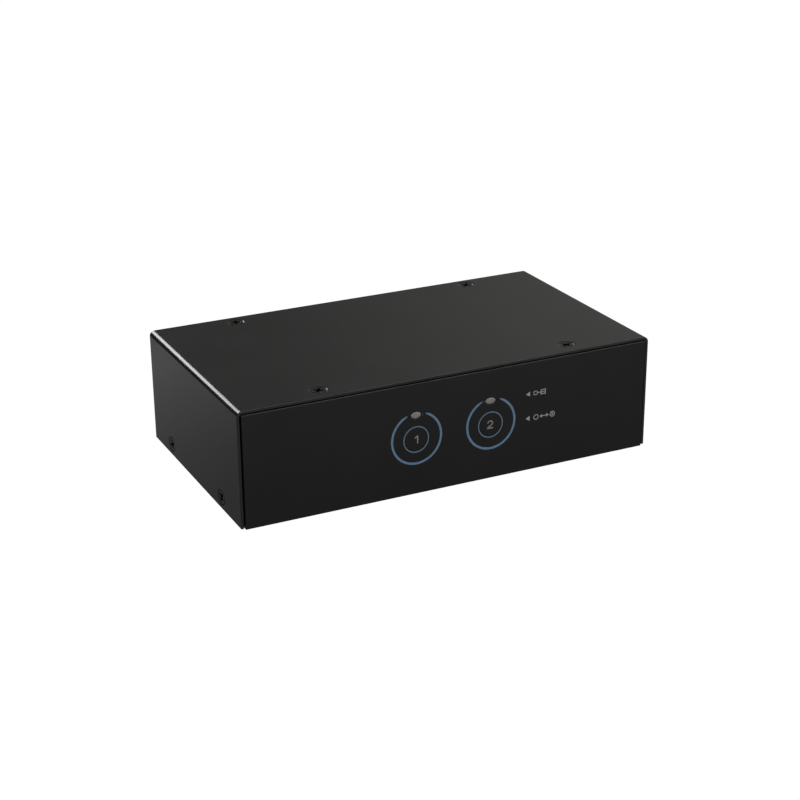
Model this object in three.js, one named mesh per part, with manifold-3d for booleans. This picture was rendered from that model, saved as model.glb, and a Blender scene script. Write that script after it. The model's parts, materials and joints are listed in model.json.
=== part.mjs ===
// Two-port desktop KVM switch in a folded steel case, millimetres, +Z up.
// The front panel faces -Y and the sockets face +Y. The origin is the middle of the outer box's underside.
// Inside the assembly group y is counted back from the panel's face, and z up from the underside of the feet.

import * as THREE from 'three';
import { mergeVertices } from 'three/addons/utils/BufferGeometryUtils.js';
import Module from 'manifold-3d';

const wasm = await Module();
wasm.setup();

// ---- driving dimensions ----

// case
const BOX_WIDTH = 164;
const BOX_DEPTH = 91.5;
const BOX_HEIGHT = 44;
const COVER_SHEET = 1.05;
const COVER_BEND = 2.0;
const COVER_SETBACK = 0.55;
const COVER_LIFT = 0.5;
const BASE_SHEET = 1.0;
const BASE_BEND = 1.6;
const BASE_SIDE_GAP = 0.15;
const REAR_INSET = 0.8;
const FLANGE_HEIGHT = 10;
const FLANGE_END_GAP = 7;
const BEND_RELIEF = 1.2;

// front panel
const PANEL_THICKNESS = 2.4;
const PANEL_SIDE_GAP = 0.8;
const PANEL_TOP_GAP = 0.5;
const PANEL_BOTTOM_GAP = 0.2;
const PANEL_CORNER = 0.5;

// feet
const FOOT_HEIGHT = 2;
const FOOT_RADIUS = 5;
const FOOT_CHAMFER = 0.5;
const FOOT_SIDE_INSET = 16;
const FOOT_END_INSET = 14;

// case screws, countersunk with a cross recess
const SCREW_HEAD_RADIUS = 2.8;
const SCREW_SHANK_RADIUS = 1.3;
const SCREW_LENGTH = 5;
const SCREW_SINK = 0.1;
const SCREW_GAP = 0.12;
const SCREW_HEAD_EDGE = 0.2;
const RECESS_LENGTH = 3.2;
const RECESS_WIDTH = 0.7;
const RECESS_DEPTH = 0.9;
const TOP_SCREW_SIDE_INSET = 32.2;
const TOP_SCREW_SHIFT = 0.7;
const TOP_SCREW_FRONT_INSET = 7.2;
const TOP_SCREW_REAR_INSET = 5.3;
const SIDE_SCREW_FRONT_INSET = 19.5;
const SIDE_SCREW_REAR_INSET = 19.5;
const SIDE_SCREW_HEIGHT = 4.9;
const RIVET_NUT_RADIUS = 3.0;
const RIVET_NUT_LENGTH = 3.0;

// select keys, with their light windows above them
const KEY_SPACING = 30;
const KEY_HEIGHT = 21.4;
const KEY_RADIUS = 4.4;
const KEY_LIP = 1.0;
const KEY_FLANGE_WIDTH = 1.0;
const KEY_FLANGE_THICKNESS = 0.8;
const KEY_STEM_RADIUS = 1.6;
const KEY_SINK = 0.05;
const KEY_GAP = 0.12;
const KEY_STEM_GAP = 0.3;
const WINDOW_RISE = 9.25;
const WINDOW_WIDTH = 4.1;
const WINDOW_HEIGHT = 2.4;
const WINDOW_GAP = 0.1;
const WINDOW_FLANGE = 0.7;
const WINDOW_FLANGE_THICKNESS = 0.8;

// key board behind the panel
const KEY_BOARD_BOSS = 6.35;
const KEY_BOARD_BOSS_RADIUS = 2.5;
const KEY_BOARD_WIDTH = 50;
const KEY_BOARD_HEIGHT = 25;
const KEY_BOARD_BOTTOM = 9.5;
const KEY_SCREW_SPACING = 43;
const KEY_SCREW_HEAD_RADIUS = 2.2;
const KEY_SCREW_HEAD_HEIGHT = 1.6;
const KEY_SCREW_SHANK_RADIUS = 1.15;
const KEY_SCREW_GRIP = 4.5;
const TACT_WIDTH = 6.0;
const TACT_HEIGHT = 3.5;
const PLUNGER_RADIUS = 1.75;
const PLUNGER_STICK = 1.5;
const PLUNGER_INSIDE = 0.8;
const PLUNGER_WELL = 1.6;
const PLUNGER_GAP = 0.1;
const LAMP_WIDTH = 3.2;
const LAMP_HEIGHT = 2.4;
const LAMP_THICKNESS = 1.8;
const LAMP_AIR_GAP = 0.3;

// boards and the standoffs that carry them
const BOARD_THICKNESS = 1.6;
const BOARD_EDGE_GAP = 0.6;
const BOSS_HEIGHT = 5;
const BOSS_RADIUS = 3.1;
const LOWER_TIER = 15;
const STANDOFF_FLATS = 5.4;
const STUD_RADIUS = 1.25;
const STUD_LENGTH = 5.5;
const STANDOFF_BORE_DEPTH = 7;
const THREAD_GAP = 0.1;
const HOLE_GAP = 0.35;
const NOTCH_WIDTH = 56;
const NOTCH_BEHIND_KEY_BOARD = 4.5;
const CHIP_WIDTH = 24;
const CHIP_THICKNESS = 1.6;
const CHIP_SETBACK = 38;
const HUB_CHIP_WIDTH = 10;
const HUB_CHIP_SIDE = 30;
const LINK_WIDTH = 50;
const LINK_DEPTH = 5;
const LINK_SETBACK = 58;
const RIBBON_WIDTH = 14;
const RIBBON_THICKNESS = 0.8;
const RIBBON_RUN = 9;
const RIBBON_HIGH = 8.5;
const RIBBON_LOW = 6.5;
const HEADER_DEPTH = 5;
const HEADER_WIDTH = 18;

// rear sockets
const CUTOUT_GAP = 0.3;
const VIDEO_FLANGE_WIDTH = 39.2;
const VIDEO_FLANGE_HEIGHT = 12.4;
const VIDEO_FLANGE_THICKNESS = 1.2;
const VIDEO_BODY_WIDTH = 27;
const VIDEO_BODY_DEPTH = 12;
const VIDEO_NOSE_WIDTH = 25.2;
const VIDEO_NOSE_HEIGHT = 9.4;
const VIDEO_NOSE_SLOPE = 1.4;
const VIDEO_NOSE_CORNER = 1.6;
const VIDEO_SHELL = 0.6;
const VIDEO_SHELL_GAP = 0.9;
const VIDEO_STICK = 4.8;
const VIDEO_POCKET = 5.0;
const JACK_SPACING = 33;
const JACK_FLATS = 4.8;
const JACK_STUD_RADIUS = 1.3;
const JACK_STUD_LENGTH = 2.1;
const JACK_BORE_RADIUS = 1.4;
const JACK_BORE_DEPTH = 3.6;
const VIDEO_IN_SPACING = 43;
const VIDEO_OUT_X = -6.5;
const SOCKET_STICK = 0.5;
const USB_B_WIDTH = 12.0;
const USB_B_HEIGHT = 10.8;
const USB_B_DEPTH = 16;
const USB_B_MOUTH_WIDTH = 8.6;
const USB_B_MOUTH_HEIGHT = 7.9;
const USB_B_CHAMFER = 1.7;
const USB_B_TONGUE_WIDTH = 5.6;
const USB_B_TONGUE_HEIGHT = 3.2;
const USB_B_FROM_STANDOFF = 10.5;
const USB_A_WIDTH = 14.5;
const USB_A_HEIGHT = 15.6;
const USB_A_DEPTH = 17;
const USB_A_MOUTH_WIDTH = 12.6;
const USB_A_MOUTH_HEIGHT = 5.2;
const USB_A_PITCH = 7.6;
const USB_A_TONGUE_WIDTH = 11.0;
const USB_A_TONGUE_HEIGHT = 1.8;
const USB_A_TONGUE_DROP = 0.6;
const USB_A_INNER_X = 22;
const USB_A_OUTER_X = 38.4;
const MOUTH_DEPTH = 9;
const MOUTH_FLOOR_GAP = 1;
const AUDIO_WIDTH = 16;
const AUDIO_HEIGHT = 8.4;
const AUDIO_DEPTH = 12;
const AUDIO_PITCH = 8.2;
const AUDIO_COLLAR_RADIUS = 3.4;
const AUDIO_BORE_RADIUS = 1.8;
const AUDIO_OUT_X = -36.8;
const AUDIO_IN_FROM_STANDOFF = 14;
const POWER_WIDTH = 9;
const POWER_HEIGHT = 11;
const POWER_DEPTH = 14;
const POWER_BORE_RADIUS = 3.2;
const POWER_PIN_RADIUS = 1.05;
const POWER_FROM_STANDOFF = 22.8;

// shared
const SEAT = 0.05;
const ROUND_STEPS = 16;
const BEND_STEPS = 6;
const CUT_OVERRUN = 1;

// ---- places worked out from the driving dimensions ----

const halfWidth = BOX_WIDTH / 2;
const overallDepth = BOX_DEPTH - REAR_INSET + VIDEO_STICK;
const boxBottom = FOOT_HEIGHT;
const boxTop = boxBottom + BOX_HEIGHT;
const coverUnderside = boxTop - COVER_SHEET;
const baseHalfWidth = halfWidth - COVER_SHEET - BASE_SIDE_GAP;
const baseFloor = boxBottom + BASE_SHEET;
const frontWallFront = PANEL_THICKNESS + SEAT;
const frontWallBack = frontWallFront + BASE_SHEET;
const rearWallBack = BOX_DEPTH - REAR_INSET;
const rearWallFront = rearWallBack - BASE_SHEET;
const wallTop = boxTop - COVER_BEND;
const keyZ = boxBottom + KEY_HEIGHT;
const windowZ = keyZ + WINDOW_RISE;
const keyFlangeRadius = KEY_RADIUS + KEY_FLANGE_WIDTH;
const keyBoardFront = frontWallBack + KEY_BOARD_BOSS + SEAT;
const keyBoardBack = keyBoardFront + BOARD_THICKNESS;
const plungerFront = keyBoardFront - SEAT - TACT_HEIGHT - PLUNGER_STICK;
const mainBoardBottom = baseFloor + BOSS_HEIGHT + SEAT;
const mainBoardTop = mainBoardBottom + BOARD_THICKNESS;
const upperBoardBottom = mainBoardTop + SEAT + LOWER_TIER + SEAT;
const upperBoardTop = upperBoardBottom + BOARD_THICKNESS;
const standoffX = halfWidth - TOP_SCREW_SIDE_INSET;
const standoffFrontY = TOP_SCREW_FRONT_INSET;
const standoffRearY = BOX_DEPTH - TOP_SCREW_REAR_INSET;
const usbBX = standoffX + USB_B_FROM_STANDOFF;
const audioInX = standoffX + AUDIO_IN_FROM_STANDOFF;
const powerX = standoffX + POWER_FROM_STANDOFF;
const sideScrewZ = boxBottom + SIDE_SCREW_HEIGHT;
const keyXs = [-KEY_SPACING / 2, KEY_SPACING / 2];
const topCorners = [
  [TOP_SCREW_SHIFT - standoffX, standoffFrontY],
  [TOP_SCREW_SHIFT + standoffX, standoffFrontY],
  [TOP_SCREW_SHIFT - standoffX, standoffRearY],
  [TOP_SCREW_SHIFT + standoffX, standoffRearY],
];
const sideScrewSpots = [
  [-1, SIDE_SCREW_FRONT_INSET],
  [-1, BOX_DEPTH - SIDE_SCREW_REAR_INSET],
  [1, SIDE_SCREW_FRONT_INSET],
  [1, BOX_DEPTH - SIDE_SCREW_REAR_INSET],
];

// ---- solids ----

// A closed geometry as a solid: equal corners merged, and the flat slivers at a lathe's axis left out.
function solid(geometry) {
  geometry.deleteAttribute('normal');
  geometry.deleteAttribute('uv');
  const merged = mergeVertices(geometry, 1e-5);
  const triVerts = [];
  for (let i = 0; i < merged.index.count; i += 3) {
    const [a, b, c] = [merged.index.getX(i), merged.index.getX(i + 1), merged.index.getX(i + 2)];
    if (a !== b && b !== c && c !== a) triVerts.push(a, b, c);
  }
  return new wasm.Manifold(new wasm.Mesh({
    numProp: 3,
    vertProperties: new Float32Array(merged.attributes.position.array),
    triVerts: new Uint32Array(triVerts),
  }));
}

function geometryOf(body) {
  const mesh = body.getMesh();
  const geometry = new THREE.BufferGeometry();
  geometry.setAttribute('position', new THREE.BufferAttribute(new Float32Array(mesh.vertProperties), 3));
  geometry.setIndex(new THREE.BufferAttribute(new Uint32Array(mesh.triVerts), 1));
  geometry.computeVertexNormals();
  return geometry;
}

// A box between two opposite corners.
function block(x0, x1, y0, y1, z0, z1) {
  const geometry = new THREE.BoxGeometry(x1 - x0, y1 - y0, z1 - z0);
  geometry.translate((x0 + x1) / 2, (y0 + y1) / 2, (z0 + z1) / 2);
  return solid(geometry);
}

// An outline in x and z, carried along y.
function alongY(shape, y0, y1) {
  const geometry = new THREE.ExtrudeGeometry(shape, {
    depth: y1 - y0,
    bevelEnabled: false,
    curveSegments: BEND_STEPS,
  });
  geometry.rotateX(Math.PI / 2);
  geometry.translate(0, y1, 0);
  return solid(geometry);
}

// An outline in y and z, carried along x.
function alongX(shape, x0, x1) {
  const geometry = new THREE.ExtrudeGeometry(shape, {
    depth: x1 - x0,
    bevelEnabled: false,
    curveSegments: BEND_STEPS,
  });
  geometry.applyMatrix4(new THREE.Matrix4().makeBasis(
    new THREE.Vector3(0, 1, 0),
    new THREE.Vector3(0, 0, 1),
    new THREE.Vector3(1, 0, 0),
  ));
  geometry.translate(x0, 0, 0);
  return solid(geometry);
}

// An outline in x and y, carried up z.
function alongZ(shape, z0, z1) {
  const geometry = new THREE.ExtrudeGeometry(shape, { depth: z1 - z0, bevelEnabled: false });
  geometry.translate(0, 0, z0);
  return solid(geometry);
}

// A profile of [radius, height] points turned about z; it starts and ends on the axis, bottom first.
function turned(profile, steps = ROUND_STEPS) {
  const points = profile.map(([radius, height]) => new THREE.Vector2(radius, height));
  const geometry = new THREE.LatheGeometry(points, steps);
  geometry.rotateX(Math.PI / 2);
  return solid(geometry);
}

function cylinder(radius, z0, z1, steps = ROUND_STEPS) {
  return turned([[0, z0], [radius, z0], [radius, z1], [0, z1]], steps);
}

// A hexagonal bar, sized across its flats.
function hexagon(flats, z0, z1) {
  return cylinder(flats / Math.sqrt(3), z0, z1, 6);
}

// Ways for a solid's +Z to point.
const FACING = {
  up: [0, 0, 0],
  down: [Math.PI, 0, 0],
  left: [0, -Math.PI / 2, 0],
  right: [0, Math.PI / 2, 0],
  front: [Math.PI / 2, 0, 0],
  rear: [-Math.PI / 2, 0, 0],
};

// The body turned and moved as a mesh with this facing and position is.
function moved(body, position, facing = 'up') {
  const matrix = new THREE.Matrix4().makeRotationFromEuler(new THREE.Euler(...FACING[facing]));
  matrix.setPosition(...position);
  return body.transform(matrix.elements);
}

function polygon(points) {
  return new THREE.Shape(points.map(([u, v]) => new THREE.Vector2(u, v)));
}

function roundedRectangle(width, height, radius) {
  const shape = new THREE.Shape();
  const u = width / 2 - radius;
  const v = height / 2 - radius;
  shape.absarc(u, -v, radius, -Math.PI / 2, 0);
  shape.absarc(u, v, radius, 0, Math.PI / 2);
  shape.absarc(-u, v, radius, Math.PI / 2, Math.PI);
  shape.absarc(-u, -v, radius, Math.PI, 1.5 * Math.PI);
  shape.closePath();
  return shape;
}

function ellipse(width, height) {
  const corners = Array.from({ length: ROUND_STEPS }, (_, i) => {
    const angle = 2 * Math.PI * i / ROUND_STEPS;
    return [width / 2 * Math.cos(angle), height / 2 * Math.sin(angle)];
  });
  return polygon(corners);
}

// ---- materials ----

function material(color, roughness, metalness) {
  return new THREE.MeshStandardMaterial({ color, roughness, metalness });
}

const BLACK_STEEL = material(0x2b2b29, 0.45, 0.3);
const BLACK_PANEL = material(0x141414, 0.35, 0);
const BLACK_SCREW = material(0x1a1a1a, 0.4, 0.6);
const BRASS_NICKEL = material(0xb9b5a8, 0.35, 0.9);
const RUBBER = material(0x202020, 0.9, 0);
const BOARD_GREEN = material(0x1d5a38, 0.5, 0);
const BLACK_PLASTIC = material(0x1c1c1c, 0.55, 0);
const GREY_PLASTIC = material(0x9c9a92, 0.5, 0);
const SOCKET_METAL = material(0xc4c6c8, 0.3, 0.95);
const CHIP_BLACK = material(0x181818, 0.6, 0);
const RIBBON_GREY = material(0xa8a8a6, 0.6, 0);

const assembly = new THREE.Group();

function put(name, body, look, position = [0, 0, 0], facing = 'up') {
  const mesh = new THREE.Mesh(geometryOf(body), look);
  mesh.name = name;
  mesh.position.set(...position);
  mesh.rotation.set(...FACING[facing]);
  assembly.add(mesh);
}

// ---- case screws ----

// A countersunk head and its shank, with its top face at z = 0 and its shank pointing down.
function countersunk(headRadius, shankRadius, length) {
  return turned([
    [0, -length],
    [shankRadius, -length],
    [shankRadius, shankRadius - headRadius - SCREW_HEAD_EDGE],
    [headRadius, -SCREW_HEAD_EDGE],
    [headRadius, 0],
    [0, 0],
  ]);
}

function caseScrew() {
  const half = RECESS_LENGTH / 2;
  const side = RECESS_WIDTH / 2;
  return countersunk(SCREW_HEAD_RADIUS, SCREW_SHANK_RADIUS, SCREW_LENGTH)
    .subtract(block(-half, half, -side, side, -RECESS_DEPTH, CUT_OVERRUN))
    .subtract(block(-side, side, -half, half, -RECESS_DEPTH, CUT_OVERRUN));
}

// The seat that the screw leaves in the sheets and the thread behind them.
function caseScrewSeat() {
  return countersunk(SCREW_HEAD_RADIUS + SCREW_GAP, SCREW_SHANK_RADIUS + SCREW_GAP, SCREW_LENGTH + SCREW_GAP)
    .add(cylinder(SCREW_HEAD_RADIUS + SCREW_GAP, -SCREW_HEAD_EDGE, CUT_OVERRUN));
}

const caseScrewPlaces = [
  ...topCorners.map(([x, y]) => ({
    kind: 'top_screw', position: [x, y, boxTop - SCREW_SINK], facing: 'up',
  })),
  ...sideScrewSpots.map(([side, y]) => ({
    kind: 'side_screw',
    position: [side * (halfWidth - SCREW_SINK), y, sideScrewZ],
    facing: side < 0 ? 'left' : 'right',
  })),
];

function screwSeats(kind) {
  return caseScrewPlaces
    .filter((place) => place.kind === kind)
    .map((place) => moved(caseScrewSeat(), place.position, place.facing));
}

// ---- top cover: one folded sheet, the top and both sides ----

function coverOutline() {
  const outerTop = boxTop;
  const edge = boxBottom + COVER_LIFT;
  const inner = halfWidth - COVER_SHEET;
  const innerBend = COVER_BEND - COVER_SHEET;
  const bendZ = outerTop - COVER_BEND;
  const bendX = halfWidth - COVER_BEND;
  const shape = new THREE.Shape();
  shape.moveTo(inner, edge);
  shape.lineTo(halfWidth, edge);
  shape.absarc(bendX, bendZ, COVER_BEND, 0, Math.PI / 2);
  shape.absarc(-bendX, bendZ, COVER_BEND, Math.PI / 2, Math.PI);
  shape.lineTo(-halfWidth, edge);
  shape.lineTo(-inner, edge);
  shape.absarc(-bendX, bendZ, innerBend, Math.PI, Math.PI / 2, true);
  shape.absarc(bendX, bendZ, innerBend, Math.PI / 2, 0, true);
  shape.closePath();
  return shape;
}

function topCover() {
  let body = alongY(coverOutline(), COVER_SETBACK, BOX_DEPTH);
  for (const seat of [...screwSeats('top_screw'), ...screwSeats('side_screw')]) {
    body = body.subtract(seat);
  }
  return body;
}

// ---- rear sockets ----
// Each is built with its board's top at z = 0, its middle at x = 0 and the rear wall's back at y = 0.
// It gives its body and the cut-out that the rear wall needs for it.

const wallFront = -BASE_SHEET;
const insideWall = wallFront - SEAT;

function noseOutline(grow) {
  const top = VIDEO_NOSE_WIDTH / 2 + grow;
  const bottom = top - VIDEO_NOSE_SLOPE;
  const high = VIDEO_NOSE_HEIGHT / 2 + grow;
  const cut = VIDEO_NOSE_CORNER;
  const middle = VIDEO_FLANGE_HEIGHT / 2;
  return polygon([
    [-bottom + cut, middle - high],
    [bottom - cut, middle - high],
    [bottom, middle - high + cut],
    [top, middle + high - cut],
    [top - cut, middle + high],
    [-top + cut, middle + high],
    [-top, middle + high - cut],
    [-bottom, middle - high + cut],
  ]);
}

function videoSocket() {
  const middle = VIDEO_FLANGE_HEIGHT / 2;
  const flangeFront = insideWall - VIDEO_FLANGE_THICKNESS;
  const halfFlange = VIDEO_FLANGE_WIDTH / 2;
  const halfBody = VIDEO_BODY_WIDTH / 2;
  const bodyFront = flangeFront - VIDEO_BODY_DEPTH;
  const pocketFloor = VIDEO_STICK - VIDEO_POCKET;
  let body = block(-halfFlange, halfFlange, flangeFront, insideWall, 0, VIDEO_FLANGE_HEIGHT)
    .add(block(-halfBody, halfBody, bodyFront, flangeFront + SEAT, 0, VIDEO_FLANGE_HEIGHT))
    .add(alongY(noseOutline(0), insideWall - SEAT, VIDEO_STICK))
    .subtract(alongY(noseOutline(-VIDEO_SHELL), pocketFloor, VIDEO_STICK + CUT_OVERRUN))
    .add(alongY(noseOutline(-VIDEO_SHELL - VIDEO_SHELL_GAP), pocketFloor - SEAT, VIDEO_STICK - VIDEO_SHELL));
  let cutout = alongY(noseOutline(CUTOUT_GAP), wallFront - CUT_OVERRUN, CUT_OVERRUN);
  for (const x of [-JACK_SPACING / 2, JACK_SPACING / 2]) {
    const holeEnd = -JACK_STUD_LENGTH - VIDEO_FLANGE_THICKNESS;
    const hole = cylinder(JACK_STUD_RADIUS + THREAD_GAP, holeEnd, CUT_OVERRUN);
    body = body.subtract(moved(hole, [x, 0, middle], 'rear'));
    const clear = cylinder(JACK_STUD_RADIUS + CUTOUT_GAP, -BASE_SHEET - CUT_OVERRUN, CUT_OVERRUN);
    cutout = cutout.add(moved(clear, [x, 0, middle], 'rear'));
  }
  return { body, cutout };
}

// A hexagonal screw that holds a video socket to the wall and takes the cable's thumb screw.
function jackScrew() {
  return hexagon(JACK_FLATS, SEAT, VIDEO_STICK)
    .add(cylinder(JACK_STUD_RADIUS, -JACK_STUD_LENGTH, SEAT * 2))
    .subtract(cylinder(JACK_BORE_RADIUS, VIDEO_STICK - JACK_BORE_DEPTH, VIDEO_STICK + CUT_OVERRUN));
}

function wallOpening(width, z0, z1) {
  return block(
    -width / 2 - CUTOUT_GAP, width / 2 + CUTOUT_GAP,
    wallFront - CUT_OVERRUN, CUT_OVERRUN,
    z0 - CUTOUT_GAP, z1 + CUTOUT_GAP,
  );
}

function usbBSocket() {
  const half = USB_B_MOUTH_WIDTH / 2;
  const low = (USB_B_HEIGHT - USB_B_MOUTH_HEIGHT) / 2;
  const high = low + USB_B_MOUTH_HEIGHT;
  const middle = USB_B_HEIGHT / 2;
  const floor = SOCKET_STICK - MOUTH_DEPTH;
  const mouth = polygon([
    [-half, low],
    [half, low],
    [half, high - USB_B_CHAMFER],
    [half - USB_B_CHAMFER, high],
    [-half + USB_B_CHAMFER, high],
    [-half, high - USB_B_CHAMFER],
  ]);
  const tongue = block(
    -USB_B_TONGUE_WIDTH / 2, USB_B_TONGUE_WIDTH / 2,
    floor - SEAT, SOCKET_STICK - MOUTH_FLOOR_GAP,
    middle - USB_B_TONGUE_HEIGHT / 2, middle + USB_B_TONGUE_HEIGHT / 2,
  );
  const body = block(
    -USB_B_WIDTH / 2, USB_B_WIDTH / 2, SOCKET_STICK - USB_B_DEPTH, SOCKET_STICK, 0, USB_B_HEIGHT,
  ).subtract(alongY(mouth, floor, SOCKET_STICK + CUT_OVERRUN)).add(tongue);
  return { body, cutout: wallOpening(USB_B_WIDTH, 0, USB_B_HEIGHT) };
}

function usbASocket() {
  const floor = SOCKET_STICK - MOUTH_DEPTH;
  let body = block(
    -USB_A_WIDTH / 2, USB_A_WIDTH / 2, SOCKET_STICK - USB_A_DEPTH, SOCKET_STICK, 0, USB_A_HEIGHT,
  );
  for (const middle of [USB_A_HEIGHT / 2 - USB_A_PITCH / 2, USB_A_HEIGHT / 2 + USB_A_PITCH / 2]) {
    const top = middle + USB_A_MOUTH_HEIGHT / 2;
    const tongueTop = top - USB_A_TONGUE_DROP;
    body = body
      .subtract(block(
        -USB_A_MOUTH_WIDTH / 2, USB_A_MOUTH_WIDTH / 2,
        floor, SOCKET_STICK + CUT_OVERRUN,
        middle - USB_A_MOUTH_HEIGHT / 2, top,
      ))
      .add(block(
        -USB_A_TONGUE_WIDTH / 2, USB_A_TONGUE_WIDTH / 2,
        floor - SEAT, SOCKET_STICK - MOUTH_FLOOR_GAP,
        tongueTop - USB_A_TONGUE_HEIGHT, tongueTop,
      ));
  }
  return { body, cutout: wallOpening(USB_A_WIDTH, 0, USB_A_HEIGHT) };
}

function audioSocket() {
  const middle = AUDIO_HEIGHT / 2;
  let body = block(-AUDIO_WIDTH / 2, AUDIO_WIDTH / 2, insideWall - AUDIO_DEPTH, insideWall, 0, AUDIO_HEIGHT);
  let cutout;
  for (const x of [-AUDIO_PITCH / 2, AUDIO_PITCH / 2]) {
    const collar = cylinder(AUDIO_COLLAR_RADIUS, insideWall - SEAT, SOCKET_STICK);
    const bore = cylinder(AUDIO_BORE_RADIUS, SOCKET_STICK - MOUTH_DEPTH, SOCKET_STICK + CUT_OVERRUN);
    body = body.add(moved(collar, [x, 0, middle], 'rear')).subtract(moved(bore, [x, 0, middle], 'rear'));
    const clear = cylinder(AUDIO_COLLAR_RADIUS + CUTOUT_GAP, wallFront - CUT_OVERRUN, CUT_OVERRUN);
    const hole = moved(clear, [x, 0, middle], 'rear');
    cutout = cutout ? cutout.add(hole) : hole;
  }
  return { body, cutout };
}

function powerSocket() {
  const middle = POWER_HEIGHT / 2;
  const floor = SOCKET_STICK - MOUTH_DEPTH;
  const bore = cylinder(POWER_BORE_RADIUS, floor, SOCKET_STICK + CUT_OVERRUN);
  const pin = cylinder(POWER_PIN_RADIUS, floor - SEAT, SOCKET_STICK - MOUTH_FLOOR_GAP);
  const body = block(
    -POWER_WIDTH / 2, POWER_WIDTH / 2, SOCKET_STICK - POWER_DEPTH, SOCKET_STICK, 0, POWER_HEIGHT,
  )
    .subtract(moved(bore, [0, 0, middle], 'rear'))
    .add(moved(pin, [0, 0, middle], 'rear'));
  return { body, cutout: wallOpening(POWER_WIDTH, 0, POWER_HEIGHT) };
}

const sockets = [
  { name: 'video_in_1', make: videoSocket, look: SOCKET_METAL, x: VIDEO_IN_SPACING / 2, z: mainBoardTop },
  { name: 'video_in_2', make: videoSocket, look: SOCKET_METAL, x: -VIDEO_IN_SPACING / 2, z: mainBoardTop },
  { name: 'video_out', make: videoSocket, look: SOCKET_METAL, x: VIDEO_OUT_X, z: upperBoardTop },
  { name: 'usb_b_1', make: usbBSocket, look: SOCKET_METAL, x: usbBX, z: mainBoardTop },
  { name: 'usb_b_2', make: usbBSocket, look: SOCKET_METAL, x: -usbBX, z: mainBoardTop },
  { name: 'usb_a_pair_1', make: usbASocket, look: SOCKET_METAL, x: USB_A_INNER_X, z: upperBoardTop },
  { name: 'usb_a_pair_2', make: usbASocket, look: SOCKET_METAL, x: USB_A_OUTER_X, z: upperBoardTop },
  { name: 'audio_in_1', make: audioSocket, look: BLACK_PLASTIC, x: audioInX, z: upperBoardTop },
  { name: 'audio_in_2', make: audioSocket, look: BLACK_PLASTIC, x: -audioInX, z: upperBoardTop },
  { name: 'audio_out', make: audioSocket, look: BLACK_PLASTIC, x: AUDIO_OUT_X, z: upperBoardTop },
  { name: 'power_jack', make: powerSocket, look: BLACK_PLASTIC, x: powerX, z: mainBoardTop },
];

// ---- base: one folded tray with a front wall, a rear wall and two low side flanges ----

function baseOutline() {
  const shape = new THREE.Shape();
  const inner = BASE_BEND - BASE_SHEET;
  const bendZ = boxBottom + BASE_BEND;
  const frontBendY = frontWallFront + BASE_BEND;
  const rearBendY = rearWallBack - BASE_BEND;
  shape.moveTo(frontWallFront, wallTop);
  shape.absarc(frontBendY, bendZ, BASE_BEND, Math.PI, 1.5 * Math.PI);
  shape.absarc(rearBendY, bendZ, BASE_BEND, 1.5 * Math.PI, 2 * Math.PI);
  shape.lineTo(rearWallBack, wallTop);
  shape.lineTo(rearWallFront, wallTop);
  shape.absarc(rearBendY, bendZ, inner, 2 * Math.PI, 1.5 * Math.PI, true);
  shape.absarc(frontBendY, bendZ, inner, 1.5 * Math.PI, Math.PI, true);
  shape.lineTo(frontWallBack, wallTop);
  shape.closePath();
  return shape;
}

// The right-hand flange and its bend: the quarter round from the floor up into the flange.
function sideFlangeOutline() {
  const bendX = baseHalfWidth - BASE_BEND;
  const bendZ = boxBottom + BASE_BEND;
  const shape = new THREE.Shape();
  shape.moveTo(bendX - CUT_OVERRUN, boxBottom);
  shape.absarc(bendX, bendZ, BASE_BEND, 1.5 * Math.PI, 2 * Math.PI);
  shape.lineTo(baseHalfWidth, boxBottom + FLANGE_HEIGHT);
  shape.lineTo(baseHalfWidth - BASE_SHEET, boxBottom + FLANGE_HEIGHT);
  shape.absarc(bendX, bendZ, BASE_BEND - BASE_SHEET, 2 * Math.PI, 1.5 * Math.PI, true);
  shape.lineTo(bendX - CUT_OVERRUN, baseFloor);
  shape.closePath();
  return shape;
}

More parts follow.
